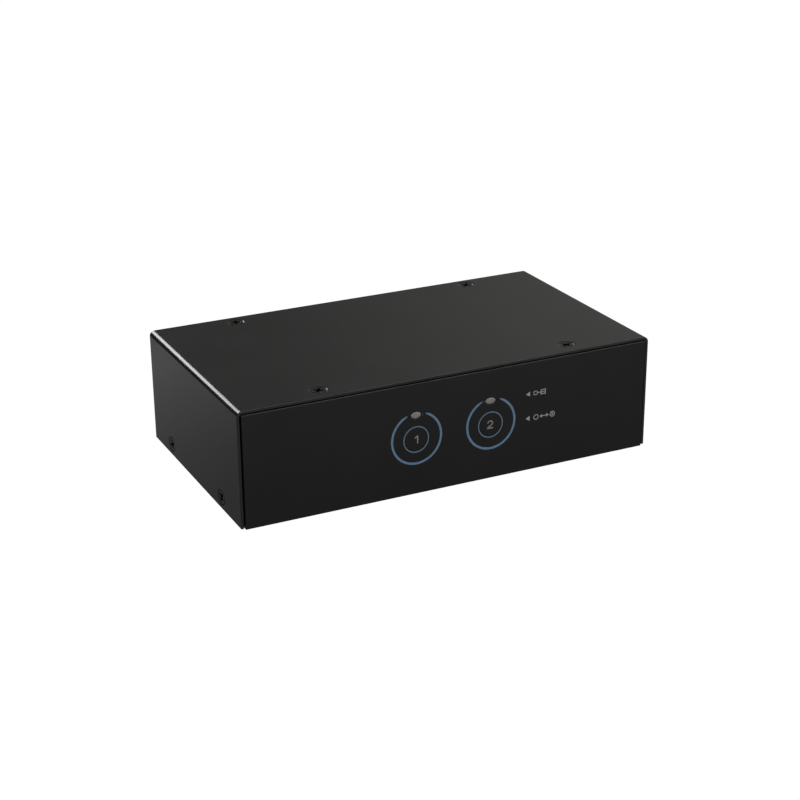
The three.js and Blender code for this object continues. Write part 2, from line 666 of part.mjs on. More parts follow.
function baseChassis() {
  const bendX = baseHalfWidth - BASE_BEND;
  const flangeFront = frontWallBack + FLANGE_END_GAP;
  const flangeRear = rearWallFront - FLANGE_END_GAP;
  const flange = alongY(sideFlangeOutline(), flangeFront, flangeRear);
  let body = alongX(baseOutline(), -baseHalfWidth, baseHalfWidth);
  for (const side of [-1, 1]) {
    const strip = [side * bendX, side * (baseHalfWidth + CUT_OVERRUN)].sort((a, b) => a - b);
    body = body.subtract(block(
      ...strip, flangeFront - BEND_RELIEF, flangeRear + BEND_RELIEF, boxBottom - CUT_OVERRUN, boxTop,
    ));
  }
  body = body.add(flange).add(flange.mirror([1, 0, 0]));
  for (const [side, y] of sideScrewSpots) {
    const nut = cylinder(RIVET_NUT_RADIUS, -RIVET_NUT_LENGTH, -BASE_SHEET / 2);
    body = body.add(moved(nut, [side * baseHalfWidth, y, sideScrewZ], side < 0 ? 'left' : 'right'));
  }
  for (const seat of screwSeats('side_screw')) {
    body = body.subtract(seat);
  }
  for (const [x, y] of topCorners) {
    body = body
      .add(moved(cylinder(BOSS_RADIUS, boxBottom + SEAT, baseFloor + BOSS_HEIGHT), [x, y, 0]))
      .subtract(moved(cylinder(STUD_RADIUS + THREAD_GAP, 0, mainBoardBottom), [x, y, 0]));
  }
  for (const x of [-KEY_SCREW_SPACING / 2, KEY_SCREW_SPACING / 2]) {
    const boss = cylinder(KEY_BOARD_BOSS_RADIUS, -KEY_BOARD_BOSS, BASE_SHEET / 2);
    const boreEnd = -KEY_BOARD_BOSS - CUT_OVERRUN;
    const bore = cylinder(KEY_SCREW_SHANK_RADIUS + THREAD_GAP, boreEnd, -BASE_SHEET / 2);
    body = body
      .add(moved(boss, [x, frontWallBack, keyZ], 'front'))
      .subtract(moved(bore, [x, frontWallBack, keyZ], 'front'));
  }
  for (const x of keyXs) {
    const stemHole = cylinder(KEY_STEM_RADIUS + KEY_STEM_GAP, -frontWallBack - CUT_OVERRUN, 0);
    const window = ellipse(WINDOW_WIDTH + 2 * WINDOW_GAP, WINDOW_HEIGHT + 2 * WINDOW_GAP);
    body = body
      .subtract(moved(stemHole, [x, 0, keyZ], 'front'))
      .subtract(moved(alongY(window, 0, frontWallBack + CUT_OVERRUN), [x, 0, windowZ]));
  }
  for (const socket of sockets) {
    body = body.subtract(moved(socket.make().cutout, [socket.x, rearWallBack, socket.z + SEAT]));
  }
  return body;
}

// ---- front panel: a flat plate bonded to the tray's front wall, with a stepped hole for each key ----

function frontPanel() {
  const low = boxBottom + PANEL_BOTTOM_GAP;
  const high = coverUnderside - PANEL_TOP_GAP;
  const width = 2 * (halfWidth - COVER_SHEET - PANEL_SIDE_GAP);
  const outline = roundedRectangle(width, high - low, PANEL_CORNER);
  let body = moved(alongY(outline, 0, PANEL_THICKNESS), [0, 0, (low + high) / 2]);
  const window = ellipse(WINDOW_WIDTH + 2 * WINDOW_GAP, WINDOW_HEIGHT + 2 * WINDOW_GAP);
  for (const x of keyXs) {
    const hole = cylinder(KEY_RADIUS + KEY_GAP, -PANEL_THICKNESS - CUT_OVERRUN, CUT_OVERRUN, 2 * ROUND_STEPS);
    const step = cylinder(keyFlangeRadius + KEY_GAP, -PANEL_THICKNESS - CUT_OVERRUN, -KEY_LIP);
    body = body
      .subtract(moved(hole, [x, 0, keyZ], 'front'))
      .subtract(moved(step, [x, 0, keyZ], 'front'))
      .subtract(moved(alongY(window, -CUT_OVERRUN, PANEL_THICKNESS + CUT_OVERRUN), [x, 0, windowZ]));
  }
  return body;
}

// ---- select key: a flat disc with a flange behind the panel and a stem that reaches its switch ----

function selectKey() {
  const flangeFront = -(KEY_LIP + SEAT - KEY_SINK);
  const flangeBack = flangeFront - KEY_FLANGE_THICKNESS;
  const stemEnd = -(plungerFront - SEAT - KEY_SINK);
  return turned([
    [0, stemEnd],
    [KEY_STEM_RADIUS, stemEnd],
    [KEY_STEM_RADIUS, flangeBack],
    [keyFlangeRadius, flangeBack],
    [keyFlangeRadius, flangeFront],
    [KEY_RADIUS, flangeFront],
    [KEY_RADIUS, 0],
    [0, 0],
  ], 2 * ROUND_STEPS);
}

// The moving button of a tactile switch, its front at z = 0.
function switchPlunger() {
  return cylinder(PLUNGER_RADIUS, -PLUNGER_STICK - PLUNGER_INSIDE, 0);
}

// The switch's housing, its front at z = 0, with the well that its plunger slides in.
function tactSwitch() {
  const half = TACT_WIDTH / 2;
  return block(-half, half, -half, half, -TACT_HEIGHT, 0)
    .subtract(cylinder(PLUNGER_RADIUS + PLUNGER_GAP, -PLUNGER_WELL, CUT_OVERRUN));
}

// Light window: an oval bar from the panel's face to just short of its lamp, flanged behind the tray's wall.
function lightPipe() {
  const flangeFront = frontWallBack + SEAT;
  const lampFront = keyBoardFront - SEAT - LAMP_THICKNESS;
  const wide = ellipse(WINDOW_WIDTH + 2 * WINDOW_FLANGE, WINDOW_HEIGHT + 2 * WINDOW_FLANGE);
  return alongY(ellipse(WINDOW_WIDTH, WINDOW_HEIGHT), KEY_SINK, lampFront - LAMP_AIR_GAP)
    .add(alongY(wide, flangeFront, flangeFront + WINDOW_FLANGE_THICKNESS));
}

function hubLamp() {
  return block(
    -LAMP_WIDTH / 2, LAMP_WIDTH / 2,
    keyBoardFront - SEAT - LAMP_THICKNESS, keyBoardFront - SEAT,
    -LAMP_HEIGHT / 2, LAMP_HEIGHT / 2,
  );
}

function keyBoard() {
  const half = KEY_BOARD_WIDTH / 2;
  const low = boxBottom + KEY_BOARD_BOTTOM;
  let body = block(-half, half, keyBoardFront, keyBoardBack, low, low + KEY_BOARD_HEIGHT);
  for (const x of [-KEY_SCREW_SPACING / 2, KEY_SCREW_SPACING / 2]) {
    const hole = cylinder(KEY_SCREW_SHANK_RADIUS + HOLE_GAP, -BOARD_THICKNESS - CUT_OVERRUN, CUT_OVERRUN);
    body = body.subtract(moved(hole, [x, keyBoardFront, keyZ], 'front'));
  }
  return body;
}

// A pan-head screw from behind the key board, its head's seat at z = 0 and its shank pointing down.
function keyBoardScrew() {
  const half = KEY_SCREW_HEAD_RADIUS / 2;
  const side = RECESS_WIDTH / 2;
  const floor = KEY_SCREW_HEAD_HEIGHT / 2;
  return cylinder(KEY_SCREW_HEAD_RADIUS, 0, KEY_SCREW_HEAD_HEIGHT)
    .add(cylinder(KEY_SCREW_SHANK_RADIUS, -BOARD_THICKNESS - KEY_SCREW_GRIP, SEAT))
    .subtract(block(-half, half, -side, side, floor, KEY_SCREW_HEAD_HEIGHT + CUT_OVERRUN))
    .subtract(block(-side, side, -half, half, floor, KEY_SCREW_HEAD_HEIGHT + CUT_OVERRUN));
}

// Flat cable from the key board's back down to its header on the main board: two quarter bends.
function keyRibbon() {
  const top = mainBoardTop + RIBBON_HIGH;
  const headerTop = mainBoardTop + RIBBON_LOW;
  const start = new THREE.Vector3(0, keyBoardBack + SEAT, top);
  const end = new THREE.Vector3(0, keyBoardBack + RIBBON_RUN, headerTop + SEAT);
  const middle = new THREE.Vector3(0, end.y, top);
  const centre = new THREE.QuadraticBezierCurve3(start, middle, end).getPoints(2 * BEND_STEPS);
  const tangents = centre.map((point, i) => {
    const before = centre[Math.max(i - 1, 0)];
    const after = centre[Math.min(i + 1, centre.length - 1)];
    return after.clone().sub(before).normalize();
  });
  tangents[0].set(0, 1, 0);
  tangents[tangents.length - 1].set(0, 0, -1);
  const side = (sign) => centre.map((point, i) => [
    point.y - sign * tangents[i].z * RIBBON_THICKNESS / 2,
    point.z + sign * tangents[i].y * RIBBON_THICKNESS / 2,
  ]);
  const outline = polygon([...side(-1), ...side(1).reverse()]);
  return alongX(outline, -RIBBON_WIDTH / 2, RIBBON_WIDTH / 2);
}

function ribbonHeader() {
  const y = keyBoardBack + RIBBON_RUN;
  return block(
    -HEADER_WIDTH / 2, HEADER_WIDTH / 2, y - HEADER_DEPTH / 2, y + HEADER_DEPTH / 2,
    mainBoardTop + SEAT, mainBoardTop + RIBBON_LOW,
  );
}

// ---- main board below, console board above ----

function boardOutline() {
  const half = baseHalfWidth - BASE_SHEET - RIVET_NUT_LENGTH - BOARD_EDGE_GAP;
  return [-half, half, frontWallBack + BOARD_EDGE_GAP, rearWallFront - BOARD_EDGE_GAP];
}

function boardHoles(body, bottom) {
  return topCorners.reduce((board, [x, y]) => board.subtract(
    moved(cylinder(STUD_RADIUS + HOLE_GAP, -CUT_OVERRUN, BOARD_THICKNESS + CUT_OVERRUN), [x, y, bottom]),
  ), body);
}

function mainBoard() {
  return boardHoles(block(...boardOutline(), mainBoardBottom, mainBoardTop), mainBoardBottom);
}

// The console board is notched at its front edge round the key board.
function consoleBoard() {
  const [left, right, front, rear] = boardOutline();
  const notchBack = keyBoardBack + NOTCH_BEHIND_KEY_BOARD;
  const half = NOTCH_WIDTH / 2;
  const outline = polygon([
    [left, front],
    [-half, front],
    [-half, notchBack],
    [half, notchBack],
    [half, front],
    [right, front],
    [right, rear],
    [left, rear],
  ]);
  return boardHoles(alongZ(outline, upperBoardBottom, upperBoardTop), upperBoardBottom);
}

// A hexagonal standoff with a stud below it and a tapped bore in its top.
function standoff(length, topSeat) {
  return hexagon(STANDOFF_FLATS, 0, length)
    .add(cylinder(STUD_RADIUS, -STUD_LENGTH, SEAT))
    .subtract(topSeat);
}

function middleStandoff() {
  const bore = cylinder(STUD_RADIUS + THREAD_GAP, LOWER_TIER - STANDOFF_BORE_DEPTH, LOWER_TIER + CUT_OVERRUN);
  return standoff(LOWER_TIER, bore);
}

function topStandoff() {
  const bottom = upperBoardTop + SEAT;
  const length = coverUnderside - SEAT - bottom;
  return standoff(length, moved(caseScrewSeat(), [0, 0, boxTop - SCREW_SINK - bottom]));
}

function boardLink() {
  return block(
    -LINK_WIDTH / 2, LINK_WIDTH / 2, LINK_SETBACK - LINK_DEPTH / 2, LINK_SETBACK + LINK_DEPTH / 2,
    mainBoardTop + SEAT, upperBoardBottom - SEAT,
  );
}

function chip(width) {
  return block(-width / 2, width / 2, -width / 2, width / 2, 0, CHIP_THICKNESS);
}

// A rubber foot stuck under the tray, its top at z = 0.
function foot() {
  return turned([
    [0, -FOOT_HEIGHT],
    [FOOT_RADIUS - FOOT_CHAMFER, -FOOT_HEIGHT],
    [FOOT_RADIUS, FOOT_CHAMFER - FOOT_HEIGHT],
    [FOOT_RADIUS, -SEAT],
    [0, -SEAT],
  ]);
}

// ---- assembly ----

put('top_cover', topCover(), BLACK_STEEL);
put('base_chassis', baseChassis(), BLACK_STEEL);
put('front_panel', frontPanel(), BLACK_PANEL);

const screwCounts = {};
for (const { kind, position, facing } of caseScrewPlaces) {
  screwCounts[kind] = (screwCounts[kind] ?? 0) + 1;
  put(`${kind}_${screwCounts[kind]}`, caseScrew(), BLACK_SCREW, position, facing);
}

const footX = halfWidth - FOOT_SIDE_INSET;
[
  [-footX, FOOT_END_INSET],
  [footX, FOOT_END_INSET],
  [-footX, BOX_DEPTH - FOOT_END_INSET],
  [footX, BOX_DEPTH - FOOT_END_INSET],
].forEach(([x, y], i) => put(`foot_${i + 1}`, foot(), RUBBER, [x, y, boxBottom]));

keyXs.forEach((x, i) => {
  const number = i + 1;
  const housingFront = keyBoardFront - SEAT - TACT_HEIGHT;
  put(`select_key_${number}`, selectKey(), BLACK_PANEL, [x, KEY_SINK, keyZ], 'front');
  put(`switch_plunger_${number}`, switchPlunger(), GREY_PLASTIC, [x, plungerFront, keyZ], 'front');
  put(`tact_switch_${number}`, tactSwitch(), BLACK_PLASTIC, [x, housingFront, keyZ], 'front');
  put(`light_pipe_${number}`, lightPipe(), GREY_PLASTIC, [x, 0, windowZ]);
  put(`hub_lamp_${number}`, hubLamp(), GREY_PLASTIC, [x, 0, windowZ]);
});

put('key_board', keyBoard(), BOARD_GREEN);
[-KEY_SCREW_SPACING / 2, KEY_SCREW_SPACING / 2].forEach((x, i) => {
  put(`key_board_screw_${i + 1}`, keyBoardScrew(), BRASS_NICKEL, [x, keyBoardBack + SEAT, keyZ], 'rear');
});
put('key_ribbon', keyRibbon(), RIBBON_GREY);
put('ribbon_header', ribbonHeader(), BLACK_PLASTIC);

put('main_board', mainBoard(), BOARD_GREEN);
put('console_board', consoleBoard(), BOARD_GREEN);
topCorners.forEach(([x, y], i) => {
  put(`middle_standoff_${i + 1}`, middleStandoff(), BRASS_NICKEL, [x, y, mainBoardTop + SEAT]);
  put(`top_standoff_${i + 1}`, topStandoff(), BRASS_NICKEL, [x, y, upperBoardTop + SEAT]);
});
put('board_link', boardLink(), BLACK_PLASTIC);
put('switch_chip', chip(CHIP_WIDTH), CHIP_BLACK, [0, CHIP_SETBACK, mainBoardTop + SEAT]);
put('hub_chip', chip(HUB_CHIP_WIDTH), CHIP_BLACK, [HUB_CHIP_SIDE, CHIP_SETBACK, upperBoardTop + SEAT]);

let jackCount = 0;
for (const { name, make, look, x, z } of sockets) {
  put(name, make().body, look, [x, rearWallBack, z + SEAT]);
  if (make !== videoSocket) continue;
  for (const side of [-1, 1]) {
    jackCount += 1;
    const spot = [x + side * JACK_SPACING / 2, rearWallBack, z + SEAT + VIDEO_FLANGE_HEIGHT / 2];
    put(`jack_screw_${jackCount}`, jackScrew(), BRASS_NICKEL, spot, 'rear');
  }
}

// The origin goes to the middle of the depth, from the panel's face to the sockets' noses.
assembly.position.y = -overallDepth / 2;

const group = new THREE.Group();
group.add(assembly);

export default group;
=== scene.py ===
import json
import math

import bmesh
import bpy
import numpy as np
from mathutils import Matrix, Vector

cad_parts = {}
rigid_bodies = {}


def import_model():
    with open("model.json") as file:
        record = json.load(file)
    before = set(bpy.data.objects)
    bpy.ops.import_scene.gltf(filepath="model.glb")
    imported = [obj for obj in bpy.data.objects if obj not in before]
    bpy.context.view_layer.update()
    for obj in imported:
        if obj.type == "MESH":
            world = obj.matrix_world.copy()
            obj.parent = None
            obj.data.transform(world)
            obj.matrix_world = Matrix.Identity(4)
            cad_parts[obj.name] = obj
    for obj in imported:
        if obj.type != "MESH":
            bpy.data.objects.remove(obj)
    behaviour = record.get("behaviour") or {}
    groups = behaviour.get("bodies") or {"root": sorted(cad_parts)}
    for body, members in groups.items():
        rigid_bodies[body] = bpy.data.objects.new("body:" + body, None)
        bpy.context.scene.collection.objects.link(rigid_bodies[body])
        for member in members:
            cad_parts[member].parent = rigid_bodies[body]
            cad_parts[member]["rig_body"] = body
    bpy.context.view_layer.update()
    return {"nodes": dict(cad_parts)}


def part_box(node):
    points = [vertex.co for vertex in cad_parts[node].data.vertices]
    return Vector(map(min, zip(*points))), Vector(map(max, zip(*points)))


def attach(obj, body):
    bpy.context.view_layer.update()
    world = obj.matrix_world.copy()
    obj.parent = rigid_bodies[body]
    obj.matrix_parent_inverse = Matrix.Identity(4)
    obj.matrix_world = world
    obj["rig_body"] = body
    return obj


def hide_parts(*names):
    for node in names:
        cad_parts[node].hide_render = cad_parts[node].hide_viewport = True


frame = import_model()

mm = 0.001

# ---- Camera ----
# Stands to the left of the front panel and above it, about 0.6 m from the box, turned a little
# clockwise. Its place is counted from the middle of the box's lower front edge.

panel_low, panel_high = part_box("front_panel")
cover_low, cover_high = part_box("top_cover")
foot_seat = 0.05 * mm
front_foot = Vector((0, panel_low.y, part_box("foot_1")[1].z + foot_seat))
camera_data = bpy.data.cameras.new("camera")
camera_data.sensor_width = 36
camera_data.lens = 78.775
camera = bpy.data.objects.new("camera", camera_data)
bpy.context.scene.collection.objects.link(camera)
gaze = Vector((0.40416, 0.83444, -0.37464)).normalized()
back = -gaze
above = Vector((0.1703, 0.3338, 0.9271))
right = above.cross(back).normalized()
above = back.cross(right)
eye_from_foot = Vector((-268.71, -510.87, 267.02)) * mm
eye = front_foot + eye_from_foot
camera.matrix_world = Matrix.Translation(eye) @ Matrix((right, above, back)).transposed().to_4x4()
bpy.context.scene.camera = camera

# ---- Floor and light ----
# The floor looks plain white to the camera, but its glow varies from front to back. A card far behind
# and one far to the right glow unevenly too, and the satin faces mirror them all. The room is dim. Of
# the three lamps, one stands behind, a little left, and draws the bright line along the cover's bend.

scene = bpy.context.scene
scene.view_settings.view_transform = "Standard"
scene.view_settings.look = "None"
seen_level = 1.02       # above 1, so that a tinted floor still comes out white


def glow_across(name, axis, levels, tint=(1, 1, 1), seen_white=False):
    """A glowing material whose strength follows a curve along one axis, in metres.

    levels is (place, strength) from one end to the other. A camera sees plain white if seen_white."""
    start, stop = levels[0][0], levels[-1][0]
    material = bpy.data.materials.new(name)
    material.use_nodes = True
    nodes, links = material.node_tree.nodes, material.node_tree.links
    nodes.clear()
    glow = nodes.new("ShaderNodeEmission")
    glow.inputs["Color"].default_value = (*tint, 1)
    out = nodes.new("ShaderNodeOutputMaterial")
    links.new(glow.outputs[0], out.inputs["Surface"])
    place = nodes.new("ShaderNodeTexCoord")
    split = nodes.new("ShaderNodeSeparateXYZ")
    links.new(place.outputs["Object"], split.inputs[0])
    scaled = nodes.new("ShaderNodeMapRange")
    scaled.inputs["From Min"].default_value = start
    scaled.inputs["From Max"].default_value = stop
    links.new(split.outputs[axis], scaled.inputs["Value"])
    curve = nodes.new("ShaderNodeFloatCurve")
    spots = curve.mapping.curves[0].points
    while len(spots) < len(levels):
        spots.new(0.5, 0.5)
    for spot, (where, level) in zip(spots, levels):
        spot.location = ((where - start) / (stop - start), level)
    curve.mapping.update()
    links.new(scaled.outputs["Result"], curve.inputs["Value"])
    strength = curve.outputs[0]
    if seen_white:
        ray = nodes.new("ShaderNodeLightPath")
        pick = nodes.new("ShaderNodeMix")
        pick.data_type = "FLOAT"
        pick.inputs["B"].default_value = seen_level
        links.new(ray.outputs["Is Camera Ray"], pick.inputs["Factor"])
        links.new(strength, pick.inputs["A"])
        strength = pick.outputs[0]
    links.new(strength, glow.inputs["Strength"])
    return material


def card(name, corners, look):
    """A flat sheet of the stage that throws no shadow."""
    mesh = bpy.data.meshes.new(name)
    mesh.from_pydata(corners, [], [(0, 1, 2, 3)])
    mesh.materials.append(look)
    sheet = bpy.data.objects.new(name, mesh)
    scene.collection.objects.link(sheet)
    sheet.visible_shadow = False
    return sheet


reach = 12.0
floor_levels = [(-0.30, 0.22), (-0.143, 0.19), (-0.06, 0.14), (-0.03, 0.13), (0.02, 0.16), (0.06, 0.21),
                (0.10, 0.27), (0.145, 0.33), (0.165, 0.29), (0.20, 0.12), (0.26, 0.05), (0.80, 0.03)]
floor_glow = glow_across("floor_white", "Y", floor_levels, (1.0, 0.985, 1.01), seen_white=True)
floor_nodes, floor_links = floor_glow.node_tree.nodes, floor_glow.node_tree.links
# From below the floor is clear, so that it doesn't hide the underside.
facing = floor_nodes.new("ShaderNodeNewGeometry")
clear = floor_nodes.new("ShaderNodeBsdfTransparent")
one_sided = floor_nodes.new("ShaderNodeMixShader")
floor_links.new(facing.outputs["Backfacing"], one_sided.inputs["Fac"])
floor_links.new(floor_nodes["Emission"].outputs[0], one_sided.inputs[1])
floor_links.new(clear.outputs[0], one_sided.inputs[2])
floor_links.new(one_sided.outputs[0], floor_nodes["Material Output"].inputs["Surface"])
card("floor", [(-reach, -reach, 0), (reach, -reach, 0), (reach, reach, 0), (-reach, reach, 0)], floor_glow)

card_base = 0.01
back_y, back_left, back_right, back_top = 1.2, -1.6, 2.0, 1.3
back_levels = [(back_left, 0.04), (0.0, 0.05), (0.34, 0.09), (0.58, 0.17), (0.70, 0.22), (0.82, 0.25),
               (back_right, 0.34)]
back_glow = glow_across("back_card_glow", "X", back_levels, (1.0, 1.0, 0.96))
back_corners = [(back_left, back_y, card_base), (back_right, back_y, card_base),
                (back_right, back_y, back_top), (back_left, back_y, back_top)]
back_card = card("back_card", back_corners, back_glow)
back_card.visible_camera = False
side_x, side_front, side_rear, side_top = 1.7, -1.1, 1.0, 1.0
side_glow = glow_across("side_card_glow", "Y", [(-1.2, 0.25), (0.0, 0.5), (1.2, 0.25)])
side_corners = [(side_x, side_front, card_base), (side_x, side_rear, card_base),
                (side_x, side_rear, side_top), (side_x, side_front, side_top)]
right_card = card("right_card", side_corners, side_glow)
right_card.visible_camera = False

room_level = 0.18
world = bpy.data.worlds.new("room")
world.use_nodes = True
scene.world = world
world_nodes = world.node_tree.nodes
world_links = world.node_tree.links
world_nodes.clear()
seen = world_nodes.new("ShaderNodeLightPath")
white = world_nodes.new("ShaderNodeBackground")
white.inputs["Color"].default_value = (1, 1, 1, 1)
room = world_nodes.new("ShaderNodeBackground")
room.inputs["Color"].default_value = (1.0, 1.0, 1.0, 1)
room.inputs["Strength"].default_value = room_level
both = world_nodes.new("ShaderNodeMixShader")
world_out = world_nodes.new("ShaderNodeOutputWorld")
world_links.new(seen.outputs["Is Camera Ray"], both.inputs["Fac"])
world_links.new(room.outputs[0], both.inputs[1])
world_links.new(white.outputs[0], both.inputs[2])
world_links.new(both.outputs[0], world_out.inputs["Surface"])


def soft_lamp(name, place, target, size, power):
    """A rectangular lamp at a place, facing a target."""
    data = bpy.data.lights.new(name, "AREA")
    data.shape = "RECTANGLE"
    data.size, data.size_y = size
    data.energy = power
    lamp = bpy.data.objects.new(name, data)
    scene.collection.objects.link(lamp)
    lamp.location = place
    lamp.rotation_euler = (Vector(target) - Vector(place)).to_track_quat("-Z", "Y").to_euler()
    lamp.visible_camera = False
    return lamp


box_middle = Vector((0, 0, cover_high.z / 2))
soft_lamp("edge_lamp", (-0.21, 1.15, 0.575), box_middle, (0.62, 0.3), 5.0)
soft_lamp("front_lamp", (0.35, -1.25, 0.6), box_middle, (1.9, 1.0), 8.5)
soft_lamp("top_lamp", (0.48, -0.50, 1.05), box_middle, (0.5, 0.4), 1.9)

# ---- Top cover ----
# One sheet of 1.05 mm steel folded into the top and both sides, with two rounded long bends and a fine
# black powder coat. Four flat-head screws in the top and two in each side hold it; each hole is
# punched and its rim pressed in a little.


noise_low, noise_high = 0.3, 0.7
gloss_shift = 0.015


def coat(name, colour, roughness, metallic=0.0, shift=0.12, grain=0.5 * mm, relief=0.004 * mm,
         cloud=25 * mm):
    """A finish with a fine grain in its relief and a slow cloud in its colour and gloss.

    The colour goes from 1 - shift to 1 + shift times itself with a noise of the cloud's size. The
    roughness and the bump follow a noise of the grain's size. Both noises read Object coordinates."""
    material = bpy.data.materials.new(name)
    material.use_nodes = True
    nodes, links = material.node_tree.nodes, material.node_tree.links
    shader = nodes["Principled BSDF"]
    shader.inputs["Metallic"].default_value = metallic
    place = nodes.new("ShaderNodeTexCoord")

    def noise(size, detail):
        """A noise in Object coordinates whose features are about this size."""
        node = nodes.new("ShaderNodeTexNoise")
        node.inputs["Scale"].default_value = 1 / size
        node.inputs["Detail"].default_value = detail
        links.new(place.outputs["Object"], node.inputs["Vector"])
        return node.outputs["Fac"]

    slow, fine = noise(cloud, 2), noise(grain, 3)
    ramp = nodes.new("ShaderNodeValToRGB")
    ramp.color_ramp.elements[0].position = noise_low
    ramp.color_ramp.elements[1].position = noise_high
    ramp.color_ramp.elements[0].color = (*[channel * (1 - shift) for channel in colour], 1)
    ramp.color_ramp.elements[1].color = (*[min(channel * (1 + shift), 1) for channel in colour], 1)
    links.new(slow, ramp.inputs["Fac"])
    links.new(ramp.outputs["Color"], shader.inputs["Base Color"])
    gloss = nodes.new("ShaderNodeMapRange")
    gloss.inputs["From Min"].default_value = noise_low
    gloss.inputs["From Max"].default_value = noise_high
    gloss.inputs["To Min"].default_value = roughness - gloss_shift
    gloss.inputs["To Max"].default_value = roughness + gloss_shift
    links.new(fine, gloss.inputs["Value"])
    links.new(gloss.outputs["Result"], shader.inputs["Roughness"])
    bump = nodes.new("ShaderNodeBump")
    bump.inputs["Distance"].default_value = relief
    links.new(fine, bump.inputs["Height"])
    links.new(bump.outputs["Normal"], shader.inputs["Normal"])
    return material


def add_piece(name, points, faces, look, body, replaced=(), bevel=0.0, sharp=40):
    """A mesh of these points and faces that rides on a body and stands for these CAD nodes.

    Edges that turn more than sharp degrees stay crisp, or are rounded by bevel metres."""
    mesh = bpy.data.meshes.new(name)
    mesh.from_pydata(np.asarray(points, float).tolist(), [], faces)
    mesh.materials.append(look)
    piece = bpy.data.objects.new(name, mesh)
    scene.collection.objects.link(piece)
    return settle(piece, body, replaced, bevel, sharp)


def settle(piece, body, replaced=(), bevel=0.0, sharp=40):
    """Smooth shading up to the sharp angle, a small bevel on sharper edges, and the frame's calls."""
    work = bmesh.new()
    work.from_mesh(piece.data)
    bmesh.ops.recalc_face_normals(work, faces=work.faces)
    limit = math.radians(sharp)
    for face in work.faces:
        face.smooth = True
    for edge in work.edges:
        edge.smooth = edge.is_manifold and edge.calc_face_angle(0) < limit
    work.to_mesh(piece.data)
    work.free()
    if bevel:
        rounding = piece.modifiers.new("edge", "BEVEL")
        rounding.width = bevel
        rounding.segments = 2
        rounding.limit_method = "ANGLE"
        rounding.angle_limit = limit
        rounding.harden_normals = True
        rounding.use_clamp_overlap = True
    levelling = piece.modifiers.new("level", "WEIGHTED_NORMAL")
    levelling.keep_sharp = True
    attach(piece, body)
    if replaced:
        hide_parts(*replaced)
    return piece


touching = 1e-7


def plate(u_edges, v_edges, thickness, holes):
    """A flat plate as points (u, v, w) and faces; w is the depth below its outer face.

    The plate is a grid. Each hole takes a square patch of it, and rings pass from the patch's own
    border to the hole's rim and down its wall: ring k lies at (u, v) = centre + r_k(angle) and
    depth w_k. The last ring joins the back face's patch border."""
    u_lines, v_lines = [np.asarray(u_edges, float)], [np.asarray(v_edges, float)]
    for hole in holes:
        (u, v), half = hole["centre"], hole["half"]
        u_lines.append(np.linspace(u - half, u + half, hole["parts"] + 1))
        v_lines.append(np.linspace(v - half, v + half, hole["parts"] + 1))
    u_lines = np.unique(np.round(np.concatenate(u_lines), 7))
    v_lines = np.unique(np.round(np.concatenate(v_lines), 7))
    count_u, count_v = len(u_lines), len(v_lines)
    grid_u, grid_v = np.meshgrid(u_lines, v_lines, indexing="ij")
    flat = np.stack([grid_u.ravel(), grid_v.ravel()], 1)
    number = np.arange(count_u * count_v).reshape(count_u, count_v)
    lower = count_u * count_v
    points = [np.column_stack([flat, np.zeros(lower)]), np.column_stack([flat, np.full(lower, thickness)])]
    middle_u = (u_lines[1:] + u_lines[:-1]) / 2
    middle_v = (v_lines[1:] + v_lines[:-1]) / 2
    kept = np.ones((count_u - 1, count_v - 1), bool)
    for hole in holes:
        (u, v), half = hole["centre"], hole["half"]
        kept &= ~((abs(middle_u - u) < half)[:, None] & (abs(middle_v - v) < half)[None, :])
    quads = np.stack([number[:-1, :-1], number[1:, :-1], number[1:, 1:], number[:-1, 1:]], -1)[kept]
    faces = [quads, quads[:, ::-1] + lower]
    rim = np.concatenate([number[:, 0], number[-1, 1:], number[-2::-1, -1], number[0, -2:0:-1]])
    following = np.roll(rim, -1)
    faces.append(np.stack([rim, rim + lower, following + lower, following], 1))
    total = 2 * lower
    for hole in holes:
        (u, v), half = hole["centre"], hole["half"]
        inside_u = np.where((u_lines > u - half - touching) & (u_lines < u + half + touching))[0]
        inside_v = np.where((v_lines > v - half - touching) & (v_lines < v + half + touching))[0]
        patch = number[np.ix_(inside_u, inside_v)]
        border = np.concatenate([patch[:, 0], patch[-1, 1:], patch[-2::-1, -1], patch[0, -2:0:-1]])
        offset = flat[border] - (u, v)
        angle = np.arctan2(offset[:, 1], offset[:, 0])
        previous = border
        for radius, depth in hole["rings"](angle):
            ring = np.column_stack([u + radius * np.cos(angle), v + radius * np.sin(angle),
                                    np.broadcast_to(depth, angle.shape)])
            points.append(ring)
            current = np.arange(total, total + len(border))
            total += len(border)
            faces.append(np.stack([previous, np.roll(previous, -1), np.roll(current, -1), current], 1))
            previous = current
        last = border + lower
        faces.append(np.stack([previous, np.roll(previous, -1), np.roll(last, -1), last], 1))
    points, faces = np.vstack(points), np.vstack(faces)
    used, renumbered = np.unique(faces, return_inverse=True)
    return points[used], renumbered.reshape(faces.shape).tolist()


cover_sheet = 1.05 * mm
cover_bend = 2.0 * mm
cover_half = cover_high.x
cover_flat = cover_half - cover_bend
bend_run = cover_bend * math.pi / 2
bend_z = cover_high.z - cover_bend
cover_reach = cover_flat + bend_run + bend_z - cover_low.z


def folded(points):
    """The flat sheet (u, v, w) folded into the cover: straight to u = flat, round the bend, then down.

    In the bend the angle is (u - flat) / bend radius and the radius is bend radius - w."""
    u, v, w = points.T
    side, run = np.sign(u), abs(u) - cover_flat
    angle = np.clip(run / cover_bend, 0, math.pi / 2)
    down = np.clip(run - bend_run, 0, None)
    x = side * (np.minimum(abs(u), cover_flat) + (cover_bend - w) * np.sin(angle))
    z = bend_z + (cover_bend - w) * np.cos(angle) - down
    return np.stack([x, v, z], 1)


